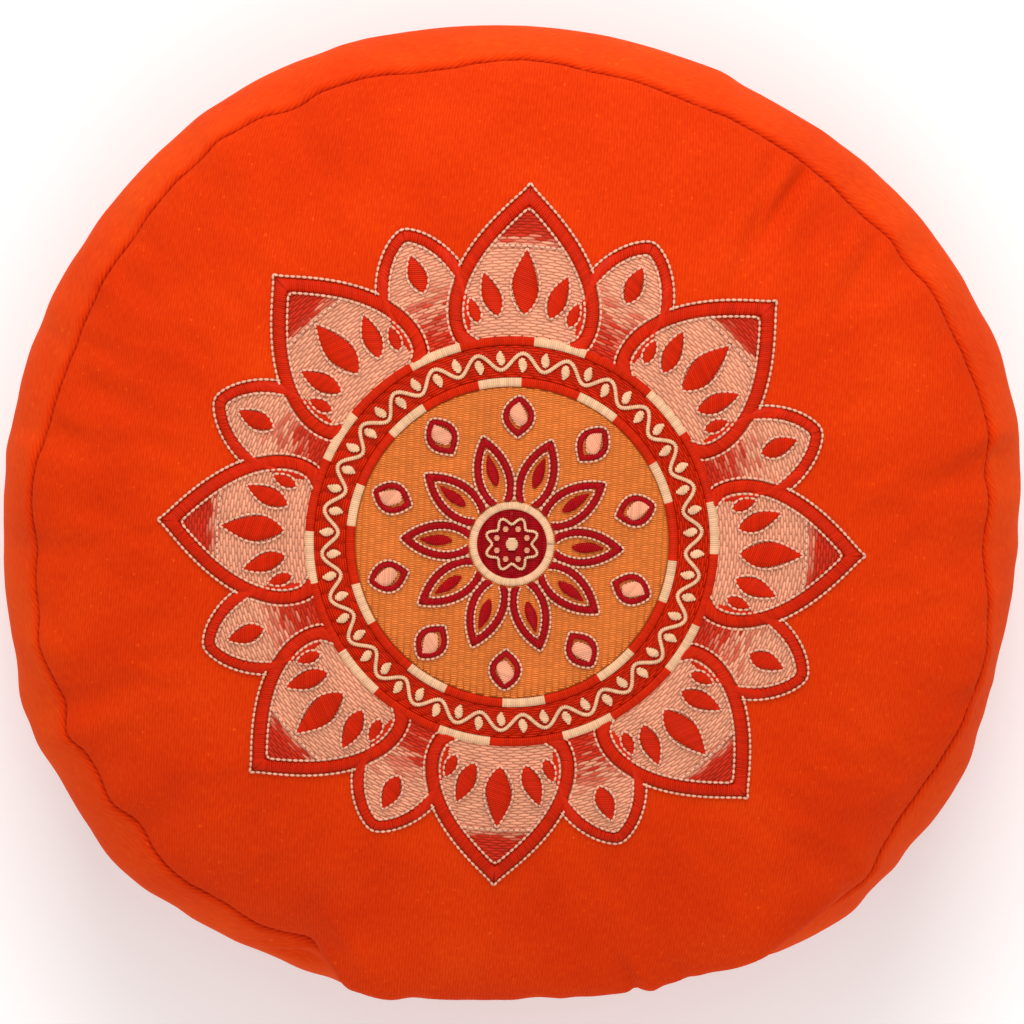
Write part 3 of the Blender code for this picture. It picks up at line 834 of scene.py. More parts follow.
def twill_patterns(tree):
    """The patterns of the cloth, each from 0 to 1: bands and noises on its map, and its own fields."""
    cloth_map = add_node(tree, "ShaderNodeUVMap", uv_map="cloth").outputs[0]
    place = add_node(tree, "ShaderNodeTexCoord").outputs["Object"]
    rib = add_node(tree, "ShaderNodeTexWave", {
        "Vector": cloth_map, "Scale": wave_scale(RIB_PITCH), "Distortion": 0.8, "Detail": 1.0,
        "Detail Scale": 0.3}, wave_type="BANDS", bands_direction="X")
    pick = add_node(tree, "ShaderNodeTexWave", {
        "Vector": cloth_map, "Scale": wave_scale(PICK_PITCH), "Distortion": 1.5, "Detail": 1.0,
        "Detail Scale": 0.5}, wave_type="BANDS", bands_direction="Y")
    stretched = add_node(tree, "ShaderNodeMapping", {
        "Vector": cloth_map, "Scale": (1.0, SLUB_STRETCH, 1.0)}).outputs[0]
    noises = [add_node(tree, "ShaderNodeTexNoise", {"Vector": at, "Scale": scale, "Detail": detail})
              for at, scale, detail in (
                  (stretched, SLUBS, 2.0), (cloth_map, FLECKS, 0.0), (place, DYE_CLOUDS, 3.0))]
    fields = [add_node(tree, "ShaderNodeAttribute", attribute_name=name) for name in ("rib", "seam")]
    return Patterns(*[node.outputs["Fac"] for node in (rib, pick, *noises, *fields)])


print("cotton twill: a rib every", RIB_PITCH, "mm and a pick every", PICK_PITCH, "mm")

# %% [markdown]
# The patterns are added up to one number, which picks the colour from a run of dyed tones: deep red in
# the hollows, orange on the ribs. The same patterns make a bump of a tenth of a millimetre. Polished
# cloth would need more shine, so sheen and a low specular level keep this one brushed and dull.

# %% Cotton twill
PLAIN_TONE = 0.08
RIB_TONE = 0.10
SLUB_TONE = 0.30
DYE_TONE = 0.28
FLECK_FROM = 0.73
FLECK_TONE = 1.2
# Painted shade at the seam: the marks darken the low parts of the ribs, and the line darkens the band at
# the crease
SEAM_SHADE_MARK_FROM = 1.25
SEAM_SHADE_MARK_TONE = 0.14
SEAM_SHADE_LINE_POWER = 3.0
SEAM_SHADE_LINE_TONE = 0.32
# Painted sheen: the band is painted lighter where its ribs are weak
BAND_PAINTED_SHEEN_TONE = 0.14
PICK_BUMP = 0.25
SLUB_BUMP = 0.5
BUMP_DEPTH = 0.0001
TWILL_TONES = ((0.0, "#901401"), (0.26, "#c02902"), (0.38, "#cd3002"), (0.52, "#d83d05"),
               (0.72, "#dc550a"))


def twill_tone(tree, seen):
    """Tone of the cloth: its patterns, less painted shade at the seam, plus painted sheen on the band."""
    bright = add_node(tree, "ShaderNodeMath", {
        0: weighted(tree, -FLECK_FROM, (seen.fleck, 1.0)), 1: 0.0}, operation="MAXIMUM").outputs[0]
    # Painted shade beside the seam: a thin dark line, and marks where the ribs are low
    line = add_node(tree, "ShaderNodeMath", {
        0: seen.seam, 1: SEAM_SHADE_LINE_POWER}, operation="POWER").outputs[0]
    rib = weighted(tree, 0.0, (weighted(tree, -0.5, (seen.rib, 1.0)), seen.strength))
    seam_shade_marks = weighted(tree, 0.0, (weighted(tree, SEAM_SHADE_MARK_FROM, (seen.rib, -1.0)), seen.seam))
    # Painted sheen: the band, whose ribs are weak, is painted lighter than the panel
    stretched = weighted(tree, 1.0, (seen.strength, -1.0))
    return weighted(tree, PLAIN_TONE, (rib, RIB_TONE), (seen.slub, SLUB_TONE), (seen.dye, DYE_TONE),
                    (bright, FLECK_TONE), (seam_shade_marks, -SEAM_SHADE_MARK_TONE), (line, -SEAM_SHADE_LINE_TONE),
                    (stretched, BAND_PAINTED_SHEEN_TONE))


def twill_material():
    """Dyed cotton twill, matt, with a rib, slubs, flecks of bare fibre, a slow change of dye, painted
    shade at the seam and painted sheen on the band.
    """
    made, tree, shader = new_material(
        "cotton_twill_dyed", Roughness=0.88, Sheen_Weight=0.12, Sheen_Roughness=0.4,
        Sheen_Tint=linear("#ff8a18"), Specular_IOR_Level=0.05)
    seen = twill_patterns(tree)
    colours = add_node(tree, "ShaderNodeValToRGB", {0: twill_tone(tree, seen)})
    set_stops(colours, TWILL_TONES)
    height = weighted(tree, 0.0, (seen.rib, seen.strength), (seen.pick, PICK_BUMP),
                      (seen.slub, SLUB_BUMP))
    bump = add_node(tree, "ShaderNodeBump", {"Height": height, "Strength": 0.5, "Distance": BUMP_DEPTH})
    tree.links.new(colours.outputs[0], shader.inputs["Base Color"])
    tree.links.new(bump.outputs[0], shader.inputs["Normal"])
    return made


cushion.data.materials.append(twill_material())
print("tones of the twill:", [colour for place, colour in TWILL_TONES])

# %% [markdown]
# Machine embroidery is laid in glossy trilobal thread, in three ways. A fill is brickwork: rows of
# stitches about 4 mm long whose ends step from row to row. Satin lies across a narrow shape from edge
# to edge, close enough to hide the cloth. A bead line is one stitch after another, each a small grain.
# All three are the same thing seen by the maker: a thread that comes up, arches over and goes down.
# So one function makes every stitch, as whole arrays, with a few dozen faces each.

# %% One stitch, made many times at once
Threads = namedtuple("Threads", "points quads fans tone shade twist")

# Corners of a thread's section, from its left edge over the top to its right edge
SECTION_SIDE = np.array((-1.0, -0.66, 0.0, 0.66, 1.0))
SECTION_UP = np.array((0.0, 0.74, 1.0, 0.74, 0.0))
# Places along a stitch with the share of its width, of its thickness and of its arch at each
FILL_PLACES = np.array(((0.09, 0.72, 0.85, 0.55), (0.5, 1.0, 1.0, 1.0), (0.91, 0.72, 0.85, 0.55)))
TWIST_PITCH = 0.9
TONE_SPREAD = 0.5
END_SINK = 0.25


def cloth_height(x, y):
    """Height of the cloth under a point of the medallion: the even dome at its share of the way out."""
    from_axis_x = x + MEDALLION[0] - AXIS[0]
    from_axis_y = y + MEDALLION[1] - AXIS[1]
    angle = np.degrees(np.arctan2(from_axis_y, from_axis_x))
    return dome_height(np.hypot(from_axis_x, from_axis_y) / around("seam_radius", angle))


def twist_map(share, length):
    """Map of the twist on threads: how far along its thread a point lies, and how far round."""
    corners = len(SECTION_SIDE)
    way_round = np.tile(np.arange(corners) / corners, len(share))
    along = np.repeat(share, corners) * length[:, None] + way_round * TWIST_PITCH
    along = np.concatenate((along, np.zeros((len(length), 1)), length[:, None]), axis=1)
    way_round = np.broadcast_to(np.append(way_round, (0.0, 0.0)), along.shape)
    return np.stack((along, way_round), axis=-1).reshape(-1, 2)


def stitches(start, end, width, thickness, arch, lift, places, seed, shade=0.0):
    """A closed thread for every pair of plan points, rows of x and y from the medallion's middle.

    Its middle line runs straight from start to end, and its height is the cloth's, plus lift, plus the
    arch times its share at each place. Its section is a flattened half round. Both ends go down to a
    point below the lift.
    """
    count = len(start)
    width, thickness, arch, lift, shade = (
        np.broadcast_to(np.asarray(value, dtype=float), (count,))
        for value in (width, thickness, arch, lift, shade))
    run = end - start
    length = np.maximum(np.linalg.norm(run, axis=1), 1e-6)
    across = np.stack((-run[:, 1], run[:, 0]), axis=1) / length[:, None]
    share, wide, thick, arched = places.T
    middle = start[:, None] + run[:, None] * share[:, None]
    offset = 0.5 * width[:, None, None] * wide[:, None] * SECTION_SIDE
    plan = middle[:, :, None] + across[:, None, None] * offset[..., None]
    up = (lift[:, None, None] + arch[:, None, None] * arched[:, None]
          + thickness[:, None, None] * thick[:, None] * SECTION_UP)
    height = cloth_height(plan[..., 0], plan[..., 1]) + up
    body = np.concatenate((plan, height[..., None]), axis=-1).reshape(count, -1, 3)
    ends = np.stack((start, end), axis=1)
    end_height = cloth_height(ends[..., 0], ends[..., 1]) + lift[:, None] - END_SINK
    points = np.concatenate((body, np.concatenate((ends, end_height[..., None]), axis=-1)), axis=1)
    each = points.shape[1]
    first = (np.arange(count) * each)[:, None, None]
    quads, fans = closed_faces(len(places), len(SECTION_SIDE))
    tone = np.random.default_rng(seed).uniform(-TONE_SPREAD, TONE_SPREAD, count)
    return Threads(points.reshape(-1, 3), (first + quads).reshape(-1, 4), (first + fans).reshape(-1, 3),
                   np.repeat(tone, each), np.repeat(shade, each), twist_map(share, length))


trial = stitches(np.zeros((1, 2)), np.array(((4.0, 0.0),)), 1.0, 0.42, 0.16, 0.0, FILL_PLACES, 0)
print("one stitch:", len(trial.points), "points,", 2 * len(trial.quads) + len(trial.fans), "triangles")

# %% [markdown]
# A colour of thread is one piece, so lots of stitches are joined. A motif that comes round eight or ten
# times is sewn once and turned, and set on the dome again at its new place, because the dome isn't the
# same all round.

# %% Lots of thread, joined and turned
def joined(parts):
    """Several lots of threads as one, with their face numbers moved on."""
    before = np.cumsum([0] + [len(part.points) for part in parts[:-1]])
    return Threads(np.vstack([part.points for part in parts]),
                   np.vstack([part.quads + shift for part, shift in zip(parts, before)]),
                   np.vstack([part.fans + shift for part, shift in zip(parts, before)]),
                   np.concatenate([part.tone for part in parts]),
                   np.concatenate([part.shade for part in parts]),
                   np.vstack([part.twist for part in parts]))


def rotated(threads, degrees):
    """Threads turned about the medallion's middle and set on the cloth again at their new place."""
    x, y = threads.points[:, 0], threads.points[:, 1]
    above = threads.points[:, 2] - cloth_height(x, y)
    new_x, new_y = turned(x, y, degrees)
    points = np.stack((new_x, new_y, cloth_height(new_x, new_y) + above), axis=-1)
    return threads._replace(points=points)


quarter = rotated(joined((trial, trial)), 90.0)
print("two stitches, turned:", len(quarter.points), "points")

# %% [markdown]
# Under a fill lies a flat bed of thread, so that no cloth shows between the ends of the stitches. The
# bed is a thin closed slab over a grid, and it is painted darker than the stitches as painted shade,
# because little light gets down to it.

# %% The bed under a fill
BED_TOP = 0.45
BED_BOTTOM = -0.3
BED_PAINTED_SHADE_TONE = -1.3


def wall_faces(low, high):
    """Quads of the wall between a lower and an upper line of points."""
    return np.stack((low[:-1], low[1:], high[1:], high[:-1]), axis=-1)


def merged_cut(threads, rows, columns):
    """A ring's slab with its last column of points made its first again, so that it is closed."""
    same = np.arange(len(threads.points)).reshape(2, rows, columns)
    same[:, :, -1] = same[:, :, 0]
    kept = np.unique(same)
    new_number = np.zeros(len(threads.points), dtype=int)
    new_number[kept] = np.arange(len(kept))
    number = new_number[same.ravel()]
    return Threads(threads.points[kept], number[threads.quads], threads.fans, threads.tone[kept],
                   threads.shade[kept], threads.twist[kept])


def bed(x, y, ring=False, shade=0.0):
    """A closed slab over a grid of plan points: rows outwards, columns anticlockwise, and walls."""
    if ring:
        x, y = closed_columns(x), closed_columns(y)
    rows, columns = x.shape
    floor = cloth_height(x, y)
    points = np.vstack([np.stack((x, y, floor + level), axis=-1).reshape(-1, 3)
                        for level in (BED_BOTTOM, BED_TOP)])
    low = np.arange(rows * columns).reshape(rows, columns)
    high = low + rows * columns
    cap = np.stack((high[:-1, :-1], high[1:, :-1], high[1:, 1:], high[:-1, 1:]), axis=-1)
    under = np.stack((low[:-1, :-1], low[:-1, 1:], low[1:, 1:], low[1:, :-1]), axis=-1)
    if ring:
        walls = [wall_faces(low[0, ::-1], high[0, ::-1]), wall_faces(low[-1], high[-1])]
    else:
        rim = np.concatenate((low[0, ::-1], low[1:, 0], low[-1, 1:], low[-2::-1, -1]))
        walls = [wall_faces(rim, rim + rows * columns)]
    quads = np.vstack([cap.reshape(-1, 4), under.reshape(-1, 4)] + walls)
    count = len(points)
    shades = np.tile(np.broadcast_to(shade, x.shape).ravel(), 2)
    # The bed's low tone is painted shade
    made = Threads(points, quads, np.empty((0, 3), dtype=int), np.full(count, BED_PAINTED_SHADE_TONE), shades,
                   np.zeros((count, 2)))
    return merged_cut(made, rows, columns) if ring else made


print("a bed's top lies", BED_TOP, "mm over the cloth")

# %% [markdown]
# Thread is trilobal polyester, dyed, two plies twisted together: smooth, with a gloss that is broken
# along the twist. Every stitch carries a tone of its own, because each catches the light a little
# differently. The pink fill also carries a share of red, where two colours are blended.

# %% Embroidery thread
PLAIN_VALUE = 0.88
TONE_GAIN = 0.22
# Uneven dye: a cloud every 11 mm
UNEVEN_DYE = 90.0
UNEVEN_GAIN = 0.24
TWIST_DEPTH = 0.00008


def thread_material(name, colour, blend=None, roughness=0.42):
    """Twisted polyester thread of one dye, or of two that a piece's shade attribute mixes."""
    made, tree, shader = new_material(
        name, Roughness=roughness, Sheen_Weight=0.05, Sheen_Roughness=0.35,
        Sheen_Tint=linear(colour), Specular_IOR_Level=0.07)
    # The tone field is each stitch's own tone, and painted shade on the beds
    tone = add_node(tree, "ShaderNodeAttribute", attribute_name="tone").outputs["Fac"]
    shade = add_node(tree, "ShaderNodeAttribute", attribute_name="shade").outputs["Fac"]
    place = add_node(tree, "ShaderNodeTexCoord").outputs["Object"]
    uneven = add_node(tree, "ShaderNodeTexNoise", {
        "Vector": place, "Scale": UNEVEN_DYE, "Detail": 2.0}).outputs["Fac"]
    mixed = add_node(tree, "ShaderNodeValToRGB", {0: shade})
    set_stops(mixed, ((0.0, colour), (1.0, blend or colour)))
    toned = add_node(tree, "ShaderNodeHueSaturation", {
        "Color": mixed.outputs[0],
        "Value": weighted(tree, PLAIN_VALUE, (tone, TONE_GAIN), (uneven, UNEVEN_GAIN))}).outputs[0]
    turns = add_node(tree, "ShaderNodeUVMap", uv_map="twist").outputs[0]
    ply = add_node(tree, "ShaderNodeTexWave", {"Vector": turns, "Scale": wave_scale(TWIST_PITCH)},
                   wave_type="BANDS", bands_direction="X").outputs["Fac"]
    bump = add_node(tree, "ShaderNodeBump", {"Height": ply, "Strength": 0.35, "Distance": TWIST_DEPTH})
    tree.links.new(toned, shader.inputs["Base Color"])
    tree.links.new(bump.outputs[0], shader.inputs["Normal"])
    return made


Dye = namedtuple("Dye", "material slot")
RED = Dye(thread_material("thread_satin_red", "#c02000"), "thread_red")
PINK = Dye(thread_material("thread_fill_pink", "#df9978", "#be2a13", roughness=0.5), "thread_pink")
APRICOT = Dye(thread_material("thread_fill_apricot", "#da7733", roughness=0.5), "thread_apricot")
WINE = Dye(thread_material("thread_satin_wine", "#9c050e"), "thread_wine")
CREAM = Dye(thread_material("thread_cream", "#ddb089"), "thread_cream")
BEADS = Dye(thread_material("thread_bead_line", "#dba387"), "thread_cream")
print("threads:", [dye.material.name for dye in (RED, PINK, APRICOT, WINE, CREAM, BEADS)])

# %% [markdown]
# A piece is all the thread of one colour that is sewn in one go. It rides on the cushion and stands
# for the nodes whose place it takes.

# %% A piece of embroidery
def thread_piece(name, parts, dye, nodes=()):
    """One embroidered piece of one colour, set on the cushion, standing for the named nodes."""
    threads = joined(parts)
    corner = np.concatenate((threads.quads.ravel(), threads.fans.ravel()))
    made = mesh_object(name, threads.points + (*MEDALLION, 0.0), threads.quads, threads.fans, "twist",
                       threads.twist[corner], {"tone": threads.tone, "shade": threads.shade})
    made.data.materials.append(dye.material)
    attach(made, ROOT)
    if nodes:
        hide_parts(*nodes)


# %% [markdown]
# Every line of stitches follows a path. A path is first drawn with many points, then walked at an even
# step, because a sewing machine feeds evenly whatever the curve does.

# %% Paths
def walked(path, pitch):
    """Points along a path at an even pitch: the path's coordinates read off at equal run lengths."""
    run = np.concatenate(((0.0,), np.cumsum(np.linalg.norm(np.diff(path, axis=0), axis=1))))
    steps = max(2, int(round(run[-1] / pitch)) + 1)
    at = np.linspace(0.0, run[-1], steps)
    return np.stack((np.interp(at, run, path[:, 0]), np.interp(at, run, path[:, 1])), axis=1)


def left_of(path):
    """Unit vectors to the left of a path, square to the way it runs."""
    way = np.gradient(path, axis=0)
    way /= np.linalg.norm(way, axis=1, keepdims=True)
    return np.stack((-way[:, 1], way[:, 0]), axis=1)


straight = np.array(((0.0, 0.0), (10.0, 0.0)))
print("a path of 10 mm, walked at 1.8 mm:", len(walked(straight, 1.8)), "needle holes")

# %% [markdown]
# A bead line edges every motif. Each of its grains is a short fat stitch from one needle hole to just
# past the next, so that the line has no gaps.

# %% Bead lines
BEAD_PITCH = 1.8
BEAD_WIDTH = 0.95
BEAD_THICKNESS = 0.7
BEAD_ARCH = 0.15
BEAD_OVERLAP = 0.03
BEAD_PLACES = np.array((
    (0.10, 0.50, 0.5, 0.3), (0.36, 1.0, 1.0, 1.0), (0.66, 0.95, 1.0, 1.0), (0.91, 0.45, 0.5, 0.3)))


def bead_line(path, lift, seed, pitch=BEAD_PITCH, width=BEAD_WIDTH):
    """A line of short fat stitches, each from one needle hole to just past the next."""
    holes = walked(path, pitch)
    over = BEAD_OVERLAP * np.diff(holes, axis=0)
    return stitches(holes[:-1] - over, holes[1:] + over, width, BEAD_THICKNESS, BEAD_ARCH, lift,
                    BEAD_PLACES, seed)


print("one bead:", BEAD_PITCH, "mm long and", BEAD_WIDTH, "mm wide")

# %% [markdown]
# Satin is many threads side by side. Between two edges it fills a border. Across one path it is a
# cord, whose stitches slant because the needle moves on while it swings.

# %% Satin borders and cords
SATIN_PITCH = 0.62
SATIN_OVERLAP = 1.25
SATIN_THICKNESS = 0.42
SATIN_LEAST = 0.4
SATIN_PLACES = np.array((
    (0.06, 0.90, 0.9, 0.50), (0.30, 1.0, 1.0, 0.93), (0.70, 1.0, 1.0, 0.93), (0.94, 0.90, 0.9, 0.50)))
CORD_THICKNESS = 0.4
CORD_ARCH = 0.35


def satin_between(left, right, arch, lift, seed):
    """Satin from each point of one edge to the same point of the other, wide enough to touch."""
    gap = np.linalg.norm(np.gradient(0.5 * (left + right), axis=0), axis=1)
    outer = np.linalg.norm(np.gradient(left, axis=0), axis=1)
    width = SATIN_OVERLAP * np.maximum(np.maximum(gap, outer), SATIN_LEAST)
    return stitches(left, right, width, SATIN_THICKNESS, arch, lift, SATIN_PLACES, seed)


def cord(path, width, lift, seed, slant=0.5):
    """A narrow satin cord: short slanted stitches across a path."""
    line = walked(path, SATIN_PITCH)
    side = left_of(line)
    way = np.stack((side[:, 1], -side[:, 0]), axis=1)
    half = 0.5 * width * (side + slant * way)
    return stitches(line + half, line - half, SATIN_OVERLAP * SATIN_PITCH, CORD_THICKNESS, CORD_ARCH,
                    lift, FILL_PLACES, seed)


print("satin: a stitch every", SATIN_PITCH, "mm,", SATIN_THICKNESS, "mm thick")

# %% [markdown]
# The leaves and dots inside the petals are satin too, each between the two sides of its own small
# shape. A leaf is a sine from root to tip, with its widest place a little nearer to the root.

# %% Leaves and dots
LEAF_ARCH = 0.45
LEAF_POWER = 0.8
LEAF_LEAST = 0.25
LEAST_ARCH_SHARE = 0.3
LEAF_LEAD = 0.35
LEAF_MARGIN = 0.55
DOT_THICKNESS = 0.4
DOT_ARCH = 0.4
DOT_LEAST = 0.15


def leaf_frame(way):
    """The unit vector along a leaf and the one to its left."""
    way = np.array(way) / np.linalg.norm(way)
    return way, np.array((-way[1], way[0]))


def leaf(root, way, length, half, lift, seed):
    """A satin leaf: its half-width is half times the sine of the way along it, pointed at both ends."""
    steps = max(5, int(round(length / SATIN_PITCH)))
    share = (np.arange(steps) + 0.5) / steps
    way, side = leaf_frame(way)
    middle = np.array(root) + way * (share * length)[:, None]
    reach = (half * np.sin(np.pi * share**LEAF_POWER) + LEAF_LEAST)[:, None]
    lead = LEAF_LEAD * reach * way
    arch = LEAF_ARCH * np.clip(reach[:, 0] / half, LEAST_ARCH_SHARE, 1.0)
    return stitches(middle + side * reach + lead, middle - side * reach - lead,
                    SATIN_OVERLAP * SATIN_PITCH, SATIN_THICKNESS, arch, lift, SATIN_PLACES, seed)


def leaf_outline(root, way, length, half):
    """Path round a satin leaf, a margin outside it: up one side to its tip and down the other."""
    share = np.linspace(0.0, 1.0, 60)
    way, side = leaf_frame(way)
    middle = np.array(root) + way * (share * (length + 2.0 * LEAF_MARGIN) - LEAF_MARGIN)[:, None]
    reach = ((half + LEAF_MARGIN) * np.sin(np.pi * share**LEAF_POWER))[:, None]
    return np.vstack((middle + side * reach, (middle - side * reach)[::-1]))


def dot(middle, radius, lift, seed):
    """A round satin dot: parallel stitches, each as long as the round is wide there."""
    steps = max(4, int(round(2.0 * radius / SATIN_PITCH)))
    across = radius * (2.0 * (np.arange(steps) + 0.5) / steps - 1.0)
    reach = np.sqrt(np.maximum(radius**2 - across**2, 0.0)) + DOT_LEAST
    left = np.array(middle) + np.stack((-reach, across), axis=1)
    right = np.array(middle) + np.stack((reach, across), axis=1)
    return stitches(left, right, SATIN_OVERLAP * 2.0 * radius / steps, DOT_THICKNESS, DOT_ARCH, lift,
                    SATIN_PLACES, seed)


trial = leaf((0.0, 0.0), (1.0, 0.0), 19.5, 4.0, 0.0, 0)
print("a leaf 19.5 mm long:", len(trial.fans) // (2 * len(SECTION_SIDE)), "stitches")

# %% [markdown]
# A petal is drawn once, pointing along X, as a half-width for every radius: it widens from its root and
# closes at its tip. A small petal lies under its large neighbours, so only what they leave free is sewn.

# %% Petal shapes
Petal = namedtuple("Petal", "name count first root tip root_half widening closing border under")
LARGE = Petal("large_petal", 8, 0.0, 64.1, 109.0, 20.0, 2.4, 1.15, 4.0, 0.9)
SMALL = Petal("small_petal", 8, 22.5, 64.1, 101.0, 12.0, 1.9, 0.7, 3.2, 0.9)
ROSETTE = Petal("rosette_petal", 10, 0.0, 14.6, 34.0, 4.0, 3.2, 0.95, 2.0, 0.9)
BUD = Petal("bud", 10, 18.0, 34.6, 45.4, 1.8, 7.5, 0.9, 1.6, 2.0)
ALL_FREE = 99.0


def petal_half(petal, radius):
    """Half-width at a radius: it widens from the root in a line and closes at the tip by a power."""
    s = (radius - petal.root) / (petal.tip - petal.root)
    return petal.root_half * (1.0 + petal.widening * s) * np.clip(1.0 - s, 0.0, 1.0) ** petal.closing


def free_half(petal, radius):
    """Half-width that its neighbours leave free: a wedge for a small petal, and no limit for others."""
    if petal is not SMALL:
        return np.full_like(radius, ALL_FREE)
    taken = np.arcsin(np.clip(petal_half(LARGE, radius) / radius, 0.0, 1.0))
    return radius * np.sin(np.pi / LARGE.count - taken)


print("outer petals:", LARGE.count + SMALL.count, "rosette:", ROSETTE.count, "buds:", BUD.count)

# %% [markdown]
# The border, bead lines and field of a petal all follow one edge, moved in or out by a fixed step.
# Where a moved edge folds over itself at a corner it is cut, which gives the mitre that the machine
# sews.

# %% Edges of a petal
OUTLINE_POINTS = 281
TOO_NEAR = 0.08
LONGEST_TIP = 2.5
# A spare so far below nought that it leaves no point of an edge out
UNCUT = -50.0


def on_arc(radius, y):
    """Plan points at a distance from the medallion's middle, and off a petal's middle line by y."""
    return np.stack((np.sqrt(np.maximum(radius**2 - y**2, 0.0)), y), axis=-1)


def moved_path(path, step):
    """A path moved to its left by a step, without the points that came too near to the old path."""
    moved = path + step * left_of(path)
    away = np.linalg.norm(moved[:, None] - path[None], axis=-1).min(axis=1)
    return moved[away > abs(step) - TOO_NEAR]


def run_to_root(edge, petal):
    """An edge led straight on to its root's circle, so that what is sewn along it ends at the ring."""
    way = edge[0] - edge[3]
    way /= np.linalg.norm(way)
    gap = np.linalg.norm(edge[0]) - (petal.root - petal.under)
    steepness = max(float(-way @ edge[0]) / np.linalg.norm(edge[0]), 0.5)
    return np.vstack((edge[0] + way * max(gap, 0.0) / steepness, edge))


def petal_edge(petal, inset=0.0, spare=0.0):
    """One edge of a petal from root to tip, moved in by an inset, ended on the middle line.

    Points that lie further out than the free half-width less some spare are left out.
    """
    radius = np.linspace(petal.root - petal.under, petal.tip, OUTLINE_POINTS)
    half = petal_half(petal, radius)
    edge = on_arc(radius, half)
    if inset:
        edge = moved_path(edge, -inset)
    if inset > 0.0 and petal is not BUD:
        edge = run_to_root(edge, petal)
    edge = edge[edge[:, 1] >= 0.0]
    way = edge[-1] - edge[-2]
    reach = np.clip(-edge[-1, 1] * way[0] / min(way[1], -1e-3), 0.0, LONGEST_TIP)
    edge = np.vstack((edge, (edge[-1, 0] + reach, 0.0)))
    return edge[edge[:, 1] <= free_half(petal, np.hypot(edge[:, 0], edge[:, 1])) - spare]


def both_sides(points):
    """An edge from the root up to the tip and its mirror image back to the root, as one path."""
    return np.vstack((points, (points * (1.0, -1.0))[-2::-1]))


large_edge = petal_edge(LARGE)
print("large petal:", round(float(np.ptp(large_edge[:, 0])), 1), "mm long,",
      round(float(2.0 * large_edge[:, 1].max()), 1), "mm wide")

# %% [markdown]
# The pink field of a petal is brickwork fill. Rows lie 0.9 mm apart, and each is cut every 4.2 mm, with
# every second row stepped by half a stitch. Thread that fine is thinner in truth, but two or three
# strands lie together in each grain that the eye sees.

# %% Brickwork
FILL_PITCH = 0.9
FILL_LENGTH = 4.2
FILL_COVER = 1.12
FILL_THICKNESS = 0.42
FILL_ARCH = 0.16
FILL_LIFT = BED_TOP - 0.2
SHORTEST = 0.7
CUT_WANDER = 0.07
ROW_WANDER = 0.06


def brick_cuts(half, rows, length, seed, step=0.5):
    """Starts and ends of stitches across rows of given half-widths, stepped like bricks.

    Cut k of row i lies at (k + step of the row) times the length, and is clipped to the row.
    """
    chance = np.random.default_rng(seed)
    reach = int(np.ceil(half.max() / length)) + 1
    k = np.arange(-reach, reach + 1)
    moved = step * (np.arange(rows) % 2)[:, None]
    moved = moved + chance.uniform(-CUT_WANDER, CUT_WANDER, (rows, len(k)))
    cuts = np.clip((k + moved) * length, -half[:, None], half[:, None])
    starts, ends = cuts[:, :-1], cuts[:, 1:]
    row = np.broadcast_to(np.arange(rows)[:, None], starts.shape)
    kept = ends - starts > SHORTEST
    return row[kept], starts[kept], ends[kept]


trial = brick_cuts(np.full(10, 10.0), 10, FILL_LENGTH, 0)
print("ten rows 20 mm wide:", len(trial[0]), "stitches")

# %% [markdown]
# In a petal the rows are arcs about the medallion's middle. Towards the tip of a large petal, and
# towards the root of a small one, red strands are blended in, one stitch at a time by chance, because
# the machine changes colour at the end of a stitch.

# %% The field of a petal
FIELD_UNDER = 0.3
FIELD_LEAST = 0.3
BED_UNDER = 0.8
BED_SHORT_OF_TIP = 0.4
BED_ROWS = 24
BED_COLUMNS = 17
BED_BLEND = 0.8
RED_FROM = 0.60
RED_STEEPNESS = 16.0
RED_CHANCE = 0.6
ROOT_RED = 1.5
ROOT_FADE = 3.2
ROOT_RED_END = 0.55


def field_half(petal, radius, inset):
    """Half-width of a petal's field at a radius: its moved edge, but never past what is free."""
    inner = petal_edge(petal, inset=inset, spare=UNCUT)
    reached = np.hypot(inner[:, 0], inner[:, 1]) + 1e-6 * np.arange(len(inner))
    half = np.interp(radius, np.maximum.accumulate(reached), inner[:, 1])
    return np.clip(half, 0.0, free_half(petal, radius))


def along_petal(petal, radius):
    """How far out a radius lies on a petal: 0 at its root and 1 at its tip."""
    return (radius - petal.root) / (petal.tip - petal.root)


def petal_bed(petal, tip, blend):
    """The slab under a petal's field, a little inside it, with a share of the field's blend of red."""
    level = np.linspace(petal.root - petal.under, tip - BED_SHORT_OF_TIP, BED_ROWS)[:, None]
    y = np.linspace(-1.0, 1.0, BED_COLUMNS) * field_half(petal, level, petal.border - BED_UNDER)
    x, y = np.moveaxis(on_arc(level, y), -1, 0)
    return bed(x, y, shade=1.0 - BED_BLEND + BED_BLEND * blend(along_petal(petal, level), 0.0))


